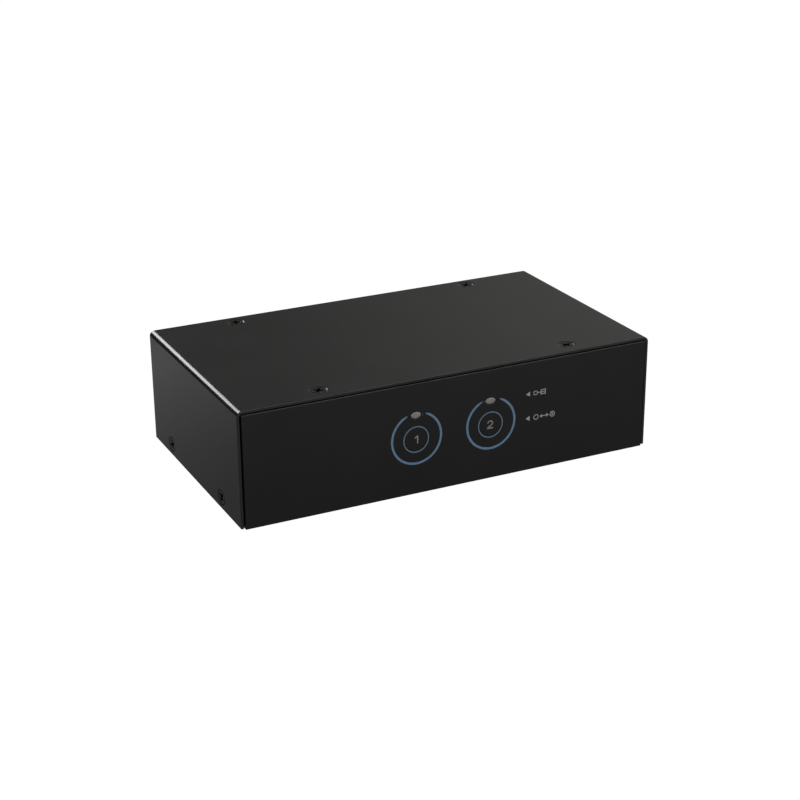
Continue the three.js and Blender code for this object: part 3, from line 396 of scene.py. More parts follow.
def pressed_rings(angle):
    """A hole with its rim pressed in: (radius, depth) from the flat sheet to the hole's far edge."""
    steps = [(4.1, 0.0), (3.7, 0.015), (3.35, 0.06), (3.08, 0.15), (2.95, 0.26), (2.15, 1.05)]    # in mm
    return [(np.full(angle.shape, radius * mm), depth * mm) for radius, depth in steps]


def centre_of(node):
    """The middle of a CAD node's box."""
    low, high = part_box(node)
    return (low + high) / 2


top_patch, side_patch, patch_parts = 4.6 * mm, 4.2 * mm, 10
cover_holes = []
for number in range(1, 5):
    top, side = centre_of(f"top_screw_{number}"), centre_of(f"side_screw_{number}")
    run = math.copysign(cover_flat + bend_run + bend_z - side.z, side.x)
    for centre, half in (((top.x, top.y), top_patch), ((run, side.y), side_patch)):
        cover_holes.append({"centre": centre, "half": half, "parts": patch_parts, "rings": pressed_rings})
bend_lines = cover_flat + np.linspace(0, bend_run, 17)
straight_lines = np.linspace(-cover_flat, cover_flat, 9)
side_lines = np.linspace(cover_flat + bend_run, cover_reach, 4)
cover_points, cover_faces = plate(
    np.concatenate([straight_lines, bend_lines, -bend_lines, side_lines, -side_lines]),
    np.linspace(cover_low.y, cover_high.y, 7), cover_sheet, cover_holes)
black_powder = coat("black_powder_coat", (0.022, 0.022, 0.022), 0.25, grain=0.45 * mm, relief=0.0003 * mm)
add_piece("folded_cover", folded(cover_points), cover_faces, black_powder, "case",
          ["top_cover"], bevel=0.12 * mm, sharp=50)

# ---- Front panel ----
# A flat black plate 2.4 mm thick, smooth and a little less glossy than the case, bonded to the tray. Its
# edges are broken by a fine chamfer. Each key has a stepped hole, and each light window a plain oval one.

ink_height = 0.03 * mm
panel_face = panel_low.y + ink_height
panel_depth = panel_high.y - panel_face
key_spots = [centre_of(f"select_key_{number}") for number in (1, 2)]
window_spots = [centre_of(f"hub_lamp_{number}") for number in (1, 2)]
key_hole = 4.52 * mm
key_step = 5.52 * mm
key_border = 5.1 * mm
key_patch, key_parts = 5.8 * mm, 14
key_lip = 1.0 * mm - ink_height
window_size = (4.1 * mm, 2.35 * mm)
window_gap = 0.07 * mm
window_border = 0.25 * mm
window_patch, window_parts = 2.8 * mm, 8
panel_rise = 0.22 * mm
panel_spread = 0.32 * mm


def oval(angle, width, height):
    """Radius of an ellipse at each angle."""
    return width * height / 2 / np.hypot(height * np.cos(angle), width * np.sin(angle))


def key_rings(angle):
    """A stepped round hole: (radius, depth) from the face to the back."""
    flat = np.ones(angle.shape)
    return [(flat * key_border, 0), (flat * key_hole, 0), (flat * key_hole, key_lip),
            (flat * key_step, key_lip), (flat * key_step, panel_depth)]


def window_rings(angle):
    """A plain oval hole: (radius, depth) from the face to the back."""
    rim = oval(angle, *[size + 2 * window_gap for size in window_size])
    return [(rim + window_border, 0), (rim, 0), (rim, panel_depth)]


panel_holes = [{"centre": (spot.x, spot.z), "half": key_patch, "parts": key_parts, "rings": key_rings}
               for spot in key_spots]
panel_holes += [{"centre": (spot.x, spot.z), "half": window_patch, "parts": window_parts,
                 "rings": window_rings} for spot in window_spots]
panel_top = panel_high.z + panel_rise
panel_points, panel_faces = plate(
    np.linspace(panel_low.x - panel_spread, panel_high.x + panel_spread, 5),
    np.linspace(panel_low.z, panel_top, 3), panel_depth, panel_holes)
panel_points = np.stack([panel_points[:, 0], panel_face + panel_points[:, 2], panel_points[:, 1]], 1)
satin_black = coat("satin_black_panel", (0.0085, 0.0085, 0.0085), 0.36, grain=0.9 * mm, relief=0.002 * mm)
add_piece("front_plate", panel_points, panel_faces, satin_black, "case",
          ["front_panel"], bevel=0.3 * mm, sharp=50)

# ---- Bonding film and painted gap shade ----
# A thin black adhesive film covers the back of the plate and holds it to the tray. It closes the
# view past the plate's edges, where its near-black, matt rim is painted shade in the gap round the
# plate. It is punched for the keys and the windows.

film_margin = 0.6 * mm
film_thick = 0.035 * mm
film_seat = 0.005 * mm
film_key_hole, film_window_hole = 5.7 * mm, 2.3 * mm
film_patch, film_parts = 6.2 * mm, 10


def film_rings(radius):
    """A plain round hole of this radius through the film."""
    def rings(angle):
        """(radius, depth) from the film's face to its back."""
        rim = np.ones(angle.shape) * radius
        return [(rim, 0), (rim, film_thick)]
    return rings


film_holes = [{"centre": (spot.x, spot.z), "half": film_patch, "parts": film_parts,
               "rings": film_rings(film_key_hole)} for spot in key_spots]
film_holes += [{"centre": (spot.x, spot.z), "half": window_patch, "parts": window_parts,
                "rings": film_rings(film_window_hole)} for spot in window_spots]
film_points, film_faces = plate(
    np.linspace(panel_low.x - film_margin, panel_high.x + film_margin, 5),
    np.linspace(panel_low.z, panel_high.z, 3), film_thick, film_holes)
film_face = panel_high.y + film_seat
film_points = np.stack([film_points[:, 0], film_face + film_points[:, 2], film_points[:, 1]], 1)
# Near black and matt: where it shows past the plate's edges, it is painted shade for the gap.
gap_shade_film = coat("adhesive_film_gap_shade", (0.008, 0.008, 0.008), 0.7, grain=0.4 * mm, relief=0.002 * mm)
add_piece("bonding_film_gap_shade", film_points, film_faces, gap_shade_film, "case")

# ---- Printed rings and signs ----
# Blue ink rings round each key, the outer one open at the top where the light window sits, and pale
# grey signs that tell the window from the key. The ink lies on the plate, 0.03 mm high.

ink_raise = 0.97 * ink_height       # a hair under the front of the CAD's plate


def ink_finish(name, colour, roughness):
    """Printed ink, matt and nearly even."""
    return coat(name, colour, roughness, shift=0.06, grain=0.25 * mm, relief=0.001 * mm, cloud=2 * mm)


def ribbon(path, width, closed=False):
    """A flat band along a path (x, z), its width set across the path at each point, ink_height thick.

    Points lie at path +- width / 2 along the path's own normal, at the plate's face and above it."""
    path = np.asarray(path, float)
    width = np.broadcast_to(width, len(path))
    if closed:
        tangent = np.roll(path, -1, 0) - np.roll(path, 1, 0)
    else:
        tangent = np.gradient(path, axis=0)
    tangent /= np.linalg.norm(tangent, axis=1)[:, None]
    normal = np.stack([-tangent[:, 1], tangent[:, 0]], 1)
    count = len(path)
    low, high = np.zeros(count), np.ones(count)
    one_side, other_side = path + normal * width[:, None] / 2, path - normal * width[:, None] / 2
    sections = [np.column_stack([one_side, low]), np.column_stack([one_side, high]),
                np.column_stack([other_side, high]), np.column_stack([other_side, low])]
    points = np.stack(sections, 1).reshape(-1, 3)
    here = np.arange(count if closed else count - 1)
    there = (here + 1) % count
    faces = [np.stack([4 * here + k, 4 * there + k, 4 * there + (k + 1) % 4, 4 * here + (k + 1) % 4], 1)
             for k in range(4)]
    faces = np.vstack(faces).tolist()
    if not closed:
        last = 4 * (count - 1)
        faces += [[0, 1, 2, 3], [last + 3, last + 2, last + 1, last]]
    return points, faces


def joined(shapes):
    """Several (points, faces) as one."""
    points, faces, total = [], [], 0
    for shape_points, shape_faces in shapes:
        points.append(np.asarray(shape_points, float))
        faces += [np.add(face, total).tolist() for face in shape_faces]
        total += len(shape_points)
    return np.vstack(points), faces


def printed(name, shapes, base, look, body):
    """Ink shapes (x, z, raised or not) laid on the face at y = base, towards the front."""
    points, faces = joined(shapes)
    points = np.stack([points[:, 0], base - points[:, 2] * ink_raise, points[:, 1]], 1)
    return add_piece(name, points, faces, look, body, sharp=30)


def arc(centre, radius, start, stop, steps):
    """Points on a circle from one angle to another, in degrees clockwise from straight up."""
    turn = np.radians(np.linspace(start, stop, steps))
    return np.stack([centre[0] + radius * np.sin(turn), centre[1] + radius * np.cos(turn)], 1)


outer_ring = 9.7 * mm
outer_line = 0.86 * mm
outer_shift = (0.2 * mm, 0.43 * mm)
inner_ring = 4.86 * mm
inner_line = 0.44 * mm
ring_gap = (22, 338)
ring_tip, tip_share = 0.035, 0.4
outer_steps, inner_steps = 161, 97
sweep = np.linspace(0, 1, outer_steps)
taper = np.clip(np.minimum(sweep, 1 - sweep) / ring_tip, 0, 1)
outer_widths = outer_line * (tip_share + (1 - tip_share) * taper)
blue_ink = ink_finish("blue_ring_ink", (0.142, 0.248, 0.385), 0.38)
pale_blue_ink = ink_finish("pale_blue_ring_ink", (0.142, 0.215, 0.285), 0.38)


def circle(centre, radius, steps):
    """Evenly spaced points all the way round, the first of them straight up."""
    return arc(centre, radius, 0, 360 * (steps - 1) / steps, steps)


for number, spot in enumerate(key_spots, 1):
    outer_centre = (spot.x + outer_shift[0], spot.z + outer_shift[1])
    outer = [ribbon(arc(outer_centre, outer_ring, *ring_gap, outer_steps), outer_widths)]
    printed(f"outer_ring_{number}", outer, panel_face, blue_ink, "case")
    inner = [ribbon(circle((spot.x, spot.z), inner_ring, inner_steps), inner_line, closed=True)]
    printed(f"inner_ring_{number}", inner, panel_face, pale_blue_ink, "case")


def flat_shape(outline):
    """A filled outline (x, z) as a thin tile: its rim raised and closed by one face above and one below."""
    outline = np.asarray(outline, float)
    count = len(outline)
    points = np.vstack([np.column_stack([outline, np.full(count, level)]) for level in (0.0, 1.0)])
    here = np.arange(count)
    there = (here + 1) % count
    faces = np.stack([here, there, there + count, here + count], 1).tolist()
    faces += [here[::-1].tolist(), (here + count).tolist()]
    return points, faces


def arrowhead(tip_x, z, long, half):
    """A triangle with its tip at (tip_x, z); its base lies long to the right, half above and below."""
    return flat_shape([(tip_x, z), (tip_x + long, z - half), (tip_x + long, z + half)])


def dot(x, z, radius):
    """A small filled disc."""
    return flat_shape(arc((x, z), radius, 0, 345, 12))


def box_outline(x, z, width, height):
    """A rectangle drawn as a line."""
    u, v = width / 2, height / 2
    corners = [(-u, -v), (0, -v), (u, -v), (u, 0), (u, v), (0, v), (-u, v), (-u, 0)]
    return ribbon(np.array(corners) + (x, z), box_line, closed=True)


pale_ink = ink_finish("pale_grey_ink", (0.40, 0.40, 0.39), 0.5)
sign_x = 29.6 * mm
sign_line, box_line = 0.32 * mm, 0.3 * mm
pointer_size, arrow_size = (1.7 * mm, 0.95 * mm), (0.95 * mm, 0.75 * mm)
hub_z = window_spots[0].z - 0.3 * mm
select_z = key_spots[0].z - 0.6 * mm
signs = [arrowhead(sign_x, hub_z, *pointer_size), arrowhead(sign_x, select_z, *pointer_size)]

# The hub sign: a box, a trunk, and three prongs that end in dots.
hub_x = sign_x + 3.1 * mm
trunk_x, trunk_half, prong_pitch = hub_x + 3.2 * mm, 0.96 * mm, 0.8 * mm
signs += [box_outline(hub_x + 0.9 * mm, hub_z, 1.4 * mm, 1.3 * mm),
          ribbon([(hub_x + 1.8 * mm, hub_z), (trunk_x, hub_z)], sign_line),
          ribbon([(trunk_x, hub_z - trunk_half), (trunk_x, hub_z + trunk_half)], sign_line)]
for step in (-1, 0, 1):
    prong = hub_z + step * prong_pitch
    signs.append(ribbon([(trunk_x + sign_line / 2, prong), (hub_x + 4.5 * mm, prong)], sign_line))
    signs.append(dot(hub_x + 4.9 * mm, prong, 0.34 * mm))

# The changeover sign: an open circle and a marked one, with a two-headed arrow between them.
select_x = hub_x + 0.1 * mm
open_x, marked_x = select_x + 1.2 * mm, select_x + 8.1 * mm
circle_radius, circle_steps = 0.95 * mm, 24
signs += [ribbon(circle((x, select_z), circle_radius, circle_steps), sign_line, closed=True)
          for x in (open_x, marked_x)]
signs += [dot(marked_x, select_z, 0.42 * mm),
          ribbon([(select_x + 3.6 * mm, select_z), (select_x + 5.7 * mm, select_z)], sign_line),
          arrowhead(select_x + 2.75 * mm, select_z, *arrow_size),
          arrowhead(select_x + 6.55 * mm, select_z, -arrow_size[0], -arrow_size[1])]
printed("panel_signs", signs, panel_face, pale_ink, "case")

# ---- Select keys ----
# Round black discs moulded with a flange and a stem, flush in the plate inside the thin blue ring.
# Each carries its number in pale ink and presses the switch behind it.


def rings_body(profile, angles):
    """A closed body of rings about z: ring k lies at (r_k(angle), z_k); both ends close at a centre point.

    profile is a list of (radius or array of radii, height). The faces come ring by ring, then the
    start's fan, then the far end's."""
    count = len(angles)
    points, faces = [], []
    for radius, height in profile:
        radius = np.broadcast_to(radius, count)
        level = np.full(count, height)
        points.append(np.column_stack([radius * np.cos(angles), radius * np.sin(angles), level]))
    points.append([[0, 0, profile[0][1]], [0, 0, profile[-1][1]]])
    here = np.arange(count)
    there = (here + 1) % count
    for k in range(len(profile) - 1):
        low, high = k * count, (k + 1) * count
        faces.append(np.stack([here + low, there + low, there + high, here + high], 1))
    start = np.full(count, len(profile) * count)
    last = (len(profile) - 1) * count
    faces = np.vstack(faces).tolist()
    faces += np.stack([start, there, here], 1).tolist()
    faces += np.stack([start + 1, last + here, last + there], 1).tolist()
    return np.vstack(points), faces


def around(steps):
    """Evenly spaced angles all the way round."""
    return np.linspace(0, 2 * math.pi, steps, endpoint=False)


turns = {
    "up": Matrix.Identity(3),
    "front": Matrix.Rotation(math.pi / 2, 3, "X"),
    "rear": Matrix.Rotation(-math.pi / 2, 3, "X"),
    "left": Matrix.Rotation(-math.pi / 2, 3, "Y"),
    "right": Matrix.Rotation(math.pi / 2, 3, "Y"),
}


def placed(points, spot, facing="up"):
    """Points whose +z is turned to face a way, then moved to a spot."""
    return np.asarray(points) @ np.array(turns[facing]).T + np.array(spot)


figure_ink = ink_finish("grey_figure_ink", (0.27, 0.265, 0.26), 0.5)
moulded_black = coat("moulded_black_key", (0.0085, 0.0085, 0.0085), 0.36, grain=0.8 * mm, relief=0.002 * mm)
key_radius = 4.4 * mm
key_edge = 0.12 * mm
# Stem, flange and the lower end of the disc, as radius and height in mm from the key's face.
key_profile = [(1.6, -4.68), (1.6, -1.8), (5.4, -1.8), (5.4, -1.0), (4.4, -1.0)]
key_profile = [(radius * mm, height * mm) for radius, height in key_profile]
key_profile += [(key_radius, -key_edge), (key_radius - 0.3 * key_edge, -0.3 * key_edge),
                (key_radius - key_edge, 0)]
figure_line = 0.48 * mm
figure_high = 3.0 * mm
figure_shifts = (0.35 * mm, -0.1 * mm)
figure_drop = 0.1 * mm


def figure_one(x, z):
    """A stem, with a short flag down to the left from its top."""
    top = figure_high / 2
    stem = ribbon([(x + 0.25 * mm, z - top), (x + 0.25 * mm, z + top)], figure_line)
    flag_ends = [(x - 0.85 * mm, z + top - 0.95 * mm), (x - 0.01 * mm, z + top - 0.2 * mm)]
    flag = ribbon(flag_ends, figure_line * 0.85)
    return [stem, flag]


def figure_two(x, z):
    """A half circle, then a curve down to the left, then the foot."""
    top, bowl = figure_high / 2, 0.98 * mm
    crown = arc((x, z + top - bowl), bowl, -78, 100, 20)
    slope = np.linspace(0, 1, 12)[1:, None]
    start, corner = crown[-1], np.array([x - 1.05 * mm, z - top + figure_line * 0.9])
    lean = np.array([x + 0.75 * mm, z + 0.1 * mm])
    curve = (1 - slope) ** 2 * start + 2 * slope * (1 - slope) * lean + slope ** 2 * corner
    foot_z = z - top + figure_line / 2
    foot = ribbon([(x - 1.3 * mm, foot_z), (x + 1.2 * mm, foot_z)], figure_line)
    return [ribbon(np.vstack([crown, curve]), figure_line), foot]


key_figures = zip(key_spots, (figure_one, figure_two), figure_shifts)
for number, (spot, figure, shift) in enumerate(key_figures, 1):
    body = f"key_{number}"
    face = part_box(f"select_key_{number}")[0].y + ink_height
    points, faces = rings_body(key_profile, around(96))
    points = placed(points, (spot.x, face, spot.z), "front")
    add_piece(f"round_key_{number}", points, faces, moulded_black, body,
              [f"select_key_{number}"])
    printed(f"key_figure_{number}", figure(spot.x + shift, spot.z - figure_drop), face, figure_ink, body)

# ---- Light windows and lamps ----
# Oval bars of smoky grey plastic, slightly domed at the face, that carry light from a lamp on the key
# board. A flange behind the tray's wall keeps each from being pushed out.

smoky = coat("smoky_window", (0.28, 0.275, 0.26), 0.34, shift=0.1, grain=0.7 * mm, relief=0.003 * mm,
             cloud=3 * mm)
smoky_shader = smoky.node_tree.nodes["Principled BSDF"]
smoky_shader.inputs["Subsurface Weight"].default_value = 0.15
smoky_shader.inputs["Subsurface Radius"].default_value = (0.4 * mm, 0.4 * mm, 0.35 * mm)
pale_resin = coat("pale_lamp_resin", (0.72, 0.70, 0.60), 0.3, grain=0.6 * mm, cloud=3 * mm)
flange_front, flange_thick, flange_spread = 3.45 * mm, 0.8 * mm, 1.4 * mm
flange_rear = flange_front + flange_thick
angles = around(64)
rim = oval(angles, *window_size)
flange = oval(angles, *[size + flange_spread for size in window_size])
dome = [(rim, -0.22 * mm), (rim * 0.96, -0.12 * mm), (rim * 0.8, -0.04 * mm), (rim * 0.45, -0.005 * mm),
        (rim * 0.12, 0)]
for number, spot in enumerate(window_spots, 1):
    low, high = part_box(f"light_pipe_{number}")
    profile = [(rim, low.y - high.y), (rim, -flange_rear), (flange, -flange_rear), (flange, -flange_front),
               (rim, -flange_front)] + dome
    points, faces = rings_body(profile, angles)
    points = placed(points, (spot.x, low.y, spot.z), "front")
    add_piece(f"light_window_{number}", points, faces, smoky, "case", [f"light_pipe_{number}"])

# ---- Case screws ----
# Small flat-head steel screws with a cross recess, blackened. The heads sit a little below the sheet.


def cross_outline(angles, reach, half_arm):
    """Radius of a plus sign's edge at each angle: along an arm's end or along its side."""
    folded_angle = (angles + math.pi / 4) % (math.pi / 2) - math.pi / 4
    end = reach / np.cos(folded_angle)
    side = half_arm / np.maximum(abs(np.sin(folded_angle)), 1e-6)
    return np.minimum(end, side)


cross_reach, cross_arm, cross_middle = 1.6 * mm, 0.48 * mm, 0.95 * mm
arm_corner = math.atan2(cross_arm, cross_reach)
quarter = np.concatenate([np.linspace(-math.pi / 4, math.pi / 4, 9), [-arm_corner, arm_corner],
                          np.linspace(-arm_corner, arm_corner, 4)])
quarter = np.unique(np.round(quarter, 6))[:-1]
cross_angles = np.concatenate([quarter + k * math.pi / 2 for k in range(4)])
screw_head, screw_shank, screw_long = 2.7 * mm, 1.3 * mm, 5.0 * mm
head_edge = 0.2 * mm
recess_floor = -1.5 * mm


def recessed(head_rings, floor_depth):
    """A screw's rings up to its top face, then its cross recess: straight in, narrowing to a blunt floor."""
    wide = np.maximum(cross_outline(cross_angles, cross_reach, cross_arm), cross_middle)
    narrow = np.maximum(cross_outline(cross_angles, cross_reach * 0.62, cross_arm * 0.8), cross_middle * 0.7)
    return head_rings + [(wide * 1.1, head_rings[-1][1] - 0.03 * mm), (wide, head_rings[-1][1] - 0.12 * mm),
                         (narrow, floor_depth), (narrow * 0.3, floor_depth - 0.25 * mm)]


def hollow(faces, steps, profile, first):
    """Which faces of a rings_body lie past point number first of its profile, the start's fan left out."""
    ring = np.arange(len(faces)) // steps
    return (ring >= first) & (ring != len(profile) - 1)


def second_finish(piece, look, chosen):
    """Gives the chosen faces, one true or false for each, another material."""
    piece.data.materials.append(look)
    piece.data.polygons.foreach_set("material_index", np.asarray(chosen).astype(np.int32))


screw_rings = [(screw_shank, -screw_long), (screw_shank, -head_edge - screw_head + screw_shank),
               (screw_head, -head_edge), (screw_head, -0.07 * mm), (screw_head - 0.07 * mm, 0),
               (screw_head - 0.5 * mm, -0.02 * mm)]
blackened = coat("blackened_steel", (0.022, 0.022, 0.022), 0.28, metallic=0.2, grain=0.3 * mm,
                 relief=0.001 * mm)
# Painted shade: the faces inside each cross recess are near black and barely reflect, standing in for the
# shade in the hollow.
painted_recess_shade = coat("painted_recess_shade", (0.004, 0.004, 0.004), 0.6, grain=0.3 * mm, relief=0.001 * mm,
                    cloud=2 * mm)
painted_recess_shade.node_tree.nodes["Principled BSDF"].inputs["Specular IOR Level"].default_value = 0.05
screw_profile = recessed(screw_rings, recess_floor)
for kind, number in [(kind, number) for kind in ("top", "side") for number in range(1, 5)]:
    node = f"{kind}_screw_{number}"
    low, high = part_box(node)
    spot = (low + high) / 2
    facing = "up"
    if kind == "side":
        facing = "left" if spot.x < 0 else "right"
        spot.x = low.x if spot.x < 0 else high.x
    else:
        spot.z = high.z
    points, faces = rings_body(screw_profile, cross_angles + number)    # each turned its own way
    head = add_piece(f"flat_head_{kind}_{number}", placed(points, spot, facing), faces, blackened, "case",
                     [node], sharp=35)
    # The recess faces take the painted shade.
    second_finish(head, painted_recess_shade, hollow(faces, len(cross_angles), screw_profile, len(screw_rings)))

# ---- Feet ----
# Round pads of soft black rubber with a rounded rim and a shallow dish underneath, stuck to the tray.

soft_rubber = coat("soft_rubber", (0.02, 0.02, 0.02), 0.75, grain=0.35 * mm, relief=0.01 * mm)
for number in range(1, 5):
    low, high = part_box(f"foot_{number}")
    radius = (high.x - low.x) / 2
    tall = high.z - low.z
    profile = [(radius * 0.5, 0.25 * mm), (radius * 0.62, 0.12 * mm), (radius * 0.7, 0),
               (radius - 0.5 * mm, 0), (radius - 0.15 * mm, 0.15 * mm), (radius, 0.5 * mm),
               (radius, tall - 0.1 * mm), (radius - 0.1 * mm, tall)]
    points, faces = rings_body(profile, around(48))
    spot = centre_of(f"foot_{number}")
    add_piece(f"rubber_foot_{number}", placed(points, (spot.x, spot.y, low.z)), faces, soft_rubber, "case",
              [f"foot_{number}"])

# ---- Tray ----
# The folded base: floor, front and rear walls and two low side flanges, in the same black coat. The
# floor's bosses carry the boards, and the rear wall is cut for the sockets.


def machined(node, name, look, bevel, sharp=35, other=None):
    """A CAD node's shape with its loose triangles merged, its flat faces made whole and its edges broken.

    other is (material, test), and faces whose middle passes the test take that material."""
    source = frame["nodes"][node].data
    mesh = bpy.data.meshes.new(name)
    work = bmesh.new()
    work.from_mesh(source)
    bmesh.ops.remove_doubles(work, verts=work.verts, dist=0.002 * mm)
    bmesh.ops.dissolve_limit(work, angle_limit=math.radians(1), verts=work.verts, edges=work.edges)
    for face in work.faces:
        face.material_index = 0
        if other and other[1](face.calc_center_median()):
            face.material_index = 1
    work.to_mesh(mesh)
    work.free()
    mesh.materials.append(look)
    if other:
        mesh.materials.append(other[0])
    piece = bpy.data.objects.new(name, mesh)
    scene.collection.objects.link(piece)
    return settle(piece, frame["nodes"][node]["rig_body"], [node], bevel, sharp)


machined("base_chassis", "folded_tray", black_powder, 0.08 * mm, 30)

# ---- Rear sockets ----
# Tin-plated steel shells and black moulded blocks soldered to the two boards, standing through the
# rear wall's cut-outs. The video sockets are held to the wall by hexagonal jack screws.

tin_plate = coat("tin_plated_shell", (0.62, 0.62, 0.63), 0.3, metallic=1.0, grain=0.8 * mm,
                 relief=0.0004 * mm)
black_nylon = coat("black_nylon", (0.02, 0.02, 0.02), 0.5, grain=0.5 * mm, relief=0.004 * mm)
white_nylon = coat("white_nylon", (0.62, 0.61, 0.57), 0.45, grain=0.5 * mm, relief=0.003 * mm)
gold_contact = coat("gold_contact", (0.80, 0.58, 0.25), 0.25, metallic=1.0, grain=0.4 * mm, relief=0.001 * mm)
nickel = coat("nickel_plated_brass", (0.66, 0.64, 0.58), 0.3, metallic=1.0, grain=0.5 * mm,
              relief=0.0005 * mm)


def pocketed(wide, high, pockets, depth, back):
    """A block whose face at w = 0 has square pockets, given as rows of (left, right, bottom, top).

    It is a grid of cells at level 0 or, inside a pocket, at level -depth. A wall joins two cells of
    different levels, and the outer rim runs down to the back at level -back. Gives the points, the
    faces and how many of these, all first, are pocket floors."""
    u_lines = np.unique(np.round(np.concatenate([[-wide / 2, wide / 2], pockets[:, 0], pockets[:, 1]]), 7))
    v_lines = np.unique(np.round(np.concatenate([[-high / 2, high / 2], pockets[:, 2], pockets[:, 3]]), 7))
    u = ((u_lines[1:] + u_lines[:-1]) / 2)[:, None, None]
    v = ((v_lines[1:] + v_lines[:-1]) / 2)[None, :, None]
    left, right, bottom, top = pockets.T
    sunk = ((u > left) & (u < right) & (v > bottom) & (v < top)).any(-1)
    number = np.arange(len(u_lines) * len(v_lines)).reshape(len(u_lines), len(v_lines))
    grid_u, grid_v = np.meshgrid(u_lines, v_lines, indexing="ij")
    levels = [np.column_stack([grid_u.ravel(), grid_v.ravel(), np.full(number.size, level)])
              for level in (0, -depth, -back)]
    quads = np.stack([number[:-1, :-1], number[1:, :-1], number[1:, 1:], number[:-1, 1:]], -1)
    a, b = number[1:-1, :-1], number[1:-1, 1:]
    walls_u = np.stack([a, b, b + number.size, a + number.size], -1)[sunk[1:] != sunk[:-1]]
    a, b = number[:-1, 1:-1], number[1:, 1:-1]
    walls_v = np.stack([a, b, b + number.size, a + number.size], -1)[sunk[:, 1:] != sunk[:, :-1]]
    rim = np.concatenate([number[:, 0], number[-1, 1:], number[-2::-1, -1], number[0, -2:0:-1]])
    after = np.roll(rim, -1)
    rim_walls = np.stack([rim, after, after + 2 * number.size, rim + 2 * number.size], 1)
    floors = quads[sunk] + number.size
    faces = np.vstack([floors, quads[~sunk], walls_u, walls_v, rim_walls,
                       (quads + 2 * number.size).reshape(-1, 4)])
    used, renumbered = np.unique(faces, return_inverse=True)
    return np.vstack(levels)[used], renumbered.reshape(faces.shape).tolist(), len(floors)


# A video socket's face has three rows of eight contacts, and beside them four round a flat blade.
contact_pitch, row_pitch, contact_half = 1.75 * mm, 1.6 * mm, 0.4 * mm
rows_middle, blade_middle, blade_contact = 2.9 * mm, -6.8 * mm, 1.3 * mm
blade_half_long, blade_half_thick = 2.3 * mm, 0.32 * mm
columns, rows = np.meshgrid(rows_middle + (np.arange(8) - 3.5) * contact_pitch,
                            np.array([-1, 0, 1]) * row_pitch)
pair = np.array([-1, 1]) * blade_contact
round_columns, round_rows = np.meshgrid(blade_middle + pair, pair)
contact_u = np.concatenate([columns.ravel(), round_columns.ravel()])
contact_v = np.concatenate([rows.ravel(), round_rows.ravel()])
video_pockets = np.stack([contact_u - contact_half, contact_u + contact_half,
                          contact_v - contact_half, contact_v + contact_half], 1)
blade_slot = [[blade_middle - blade_half_long, blade_middle + blade_half_long,
               -blade_half_thick, blade_half_thick]]
video_pockets = np.vstack([video_pockets, blade_slot])
insert_wide, insert_high, insert_deep, insert_sunk = 19.4 * mm, 5.3 * mm, 0.4 * mm, 0.17 * mm
pocket_deep = 0.3 * mm
contact_block = pocketed(insert_wide, insert_high, video_pockets, pocket_deep, insert_deep)
block_half_wide, block_half_high, block_long = 11.2 * mm, 3.4 * mm, 5.2 * mm
for name in ("video_in_1", "video_in_2", "video_out"):
    low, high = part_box(name)
    spot = (low + high) / 2

    def in_block(point, x=spot.x, z=spot.z, back=high.y):
        """Whether a place is on this socket's white insulator."""
        return (abs(point.x - x) < block_half_wide and abs(point.z - z) < block_half_high
                and point.y > back - block_long)

    machined(name, f"{name}_shell", tin_plate, 0.12 * mm, 30, (white_nylon, in_block))
    points, faces, floors = contact_block
    points = placed(points, (spot.x, high.y - insert_sunk, spot.z), "rear")
    face = add_piece(f"{name}_contacts", points, faces, white_nylon, "case", sharp=30)
    # Painted shade: the shallow pocket floors take the black nylon finish, standing in for the shade deep in
    # the contact holes.
    second_finish(face, black_nylon, np.arange(len(faces)) < floors)
for number in range(1, 7):
    machined(f"jack_screw_{number}", f"hex_jack_{number}", nickel, 0.12 * mm, 30)


def strips(spots, width, long, thick):
    """Flat contact bars along y, one at each spot; the rear end of each narrows to a third of its width."""
    corners = np.array([(a, b, c) for a in (-1, 1) for b in (-1, 1) for c in (-1, 1)], float)
    corners[:, 0] *= np.where(corners[:, 1] > 0, 1 / 3, 1)
    points = np.asarray(spots)[:, None] + corners * (width / 2, long / 2, thick / 2)
    sides = np.array([(0, 1, 3, 2), (4, 6, 7, 5), (0, 4, 5, 1), (2, 3, 7, 6), (0, 2, 6, 4), (1, 5, 7, 3)])
    faces = sides + 8 * np.arange(len(spots))[:, None, None]
    return points.reshape(-1, 3), faces.reshape(-1, 4).tolist()


lower_tongue, upper_tongue = -2.7 * mm, 4.9 * mm
tongue_tip, tongue_root, slack = 0.8 * mm, 8.9 * mm, 0.1 * mm
strip_wide, strip_long, strip_thick, strip_middle = 1.0 * mm, 6.8 * mm, 0.06 * mm, 4.9 * mm
for name in ("usb_b_1", "usb_b_2", "usb_a_pair_1", "usb_a_pair_2"):
    low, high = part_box(name)
    spot = (low + high) / 2
    if "usb_b" in name:
        tongues, half, tall = [spot.z], 2.8 * mm, 3.2 * mm
        pads = [(x * mm, side * 1.63 * mm) for x in (-1.25, 1.25) for side in (-1, 1)]
    else:
        tongues, half, tall = [spot.z + lower_tongue, spot.z + upper_tongue], 5.5 * mm, 1.8 * mm
        pads = [(x * mm, -0.93 * mm) for x in (-3.5, -1.0, 1.0, 3.5)]

    def on_tongue(point, x=spot.x, back=high.y, tongues=tongues, half=half, tall=tall):
        """Whether a place is on one of this socket's tongues."""
        return (abs(point.x - x) < half + slack and back - tongue_root < point.y < back - tongue_tip
                and min(abs(point.z - z) for z in tongues) < tall / 2 + slack)

    machined(name, f"{name}_shell", tin_plate, 0.12 * mm, 30, (white_nylon, on_tongue))
    spots = [(spot.x + x, high.y - strip_middle, z + shift) for z in tongues for x, shift in pads]
    points, faces = strips(spots, strip_wide, strip_long, strip_thick)
    add_piece(f"{name}_contacts", points, faces, gold_contact, "case", bevel=0.02 * mm)

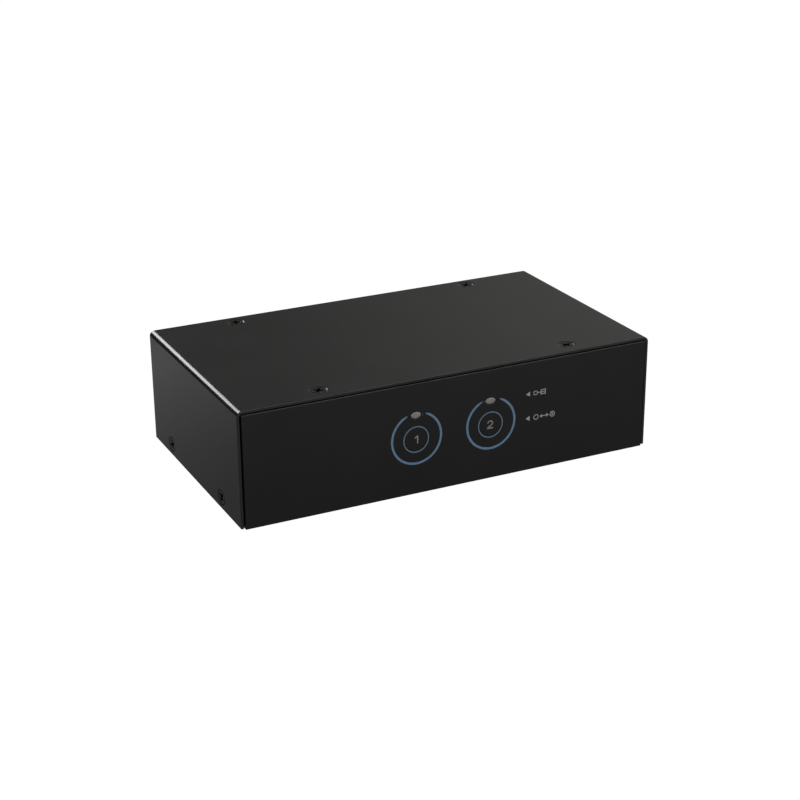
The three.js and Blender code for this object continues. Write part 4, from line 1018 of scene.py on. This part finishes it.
# The metal bush round an audio socket's bore, as radius and height in mm; the last two points are its bore.
bush_steps, bush_shift, bore_start = 40, 4.1 * mm, 6
bush_profile = [(1.78, -3.6), (1.78, 0.03), (2.4, 0.03), (2.4, 0.1), (2.3, 0.16), (1.75, 0.16), (1.62, 0.04),
                (1.62, -3.2)]
bush_profile = [(radius * mm, height * mm) for radius, height in bush_profile]
for name in ("audio_in_1", "audio_in_2", "audio_out"):
    low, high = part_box(name)
    spot = (low + high) / 2
    machined(name, f"{name}_block", black_nylon, 0.12 * mm, 30)
    for side, shift in (("left", -bush_shift), ("right", bush_shift)):
        points, faces = rings_body(bush_profile, around(bush_steps))
        points = placed(points, (spot.x + shift, high.y, spot.z), "rear")
        bush = add_piece(f"{name}_bush_{side}", points, faces, nickel, "case", sharp=30)
        second_finish(bush, black_nylon, hollow(faces, bush_steps, bush_profile, bore_start))

power_low, power_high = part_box("power_jack")
power_spot = (power_low + power_high) / 2
pin_reach, pin_tip, pin_root = 1.4 * mm, 0.1 * mm, 9 * mm


def on_pin(point):
    """Whether a place is on the power jack's middle pin."""
    return (math.hypot(point.x - power_spot.x, point.z - power_spot.z) < pin_reach
            and power_high.y - pin_root < point.y < power_high.y - pin_tip)


machined("power_jack", "power_jack_block", black_nylon, 0.12 * mm, 30, (nickel, on_pin))

# ---- Boards and what they carry ----
# Two green boards, one over the other on hexagonal standoffs, joined by a tall connector, and a small
# board behind the panel with the two switches and lamps, tied to the main board by a flat cable.

solder_mask = coat("green_solder_mask", (0.012, 0.09, 0.04), 0.35, shift=0.25, grain=1.2 * mm,
                   relief=0.006 * mm)
moulded_chip = coat("moulded_chip", (0.018, 0.018, 0.018), 0.55, grain=0.3 * mm, relief=0.006 * mm)
flat_cable = coat("grey_flat_cable", (0.38, 0.38, 0.38), 0.5, grain=0.6 * mm, relief=0.004 * mm)
zinc = coat("zinc_plated_steel", (0.58, 0.59, 0.60), 0.33, metallic=1.0, grain=0.5 * mm, relief=0.002 * mm)
for node in ("main_board", "console_board", "key_board"):
    machined(node, f"{node}_laminate", solder_mask, 0.06 * mm)
for number in range(1, 5):
    machined(f"middle_standoff_{number}", f"middle_spacer_{number}", nickel, 0.1 * mm)
    machined(f"top_standoff_{number}", f"top_spacer_{number}", nickel, 0.1 * mm)
for number in (1, 2):
    machined(f"tact_switch_{number}", f"switch_housing_{number}", black_nylon, 0.12 * mm)
    machined(f"switch_plunger_{number}", f"switch_button_{number}", black_nylon, 0.1 * mm)
    machined(f"hub_lamp_{number}", f"lamp_{number}", pale_resin, 0.15 * mm)
    machined(f"key_board_screw_{number}", f"pan_head_{number}", zinc, 0.12 * mm)
machined("key_ribbon", "flat_cable", flat_cable, 0.1 * mm)
machined("ribbon_header", "cable_header", black_nylon, 0.15 * mm)
machined("board_link", "board_connector", black_nylon, 0.15 * mm)
machined("switch_chip", "main_chip", moulded_chip, 0.12 * mm)
machined("hub_chip", "usb_chip", moulded_chip, 0.1 * mm)
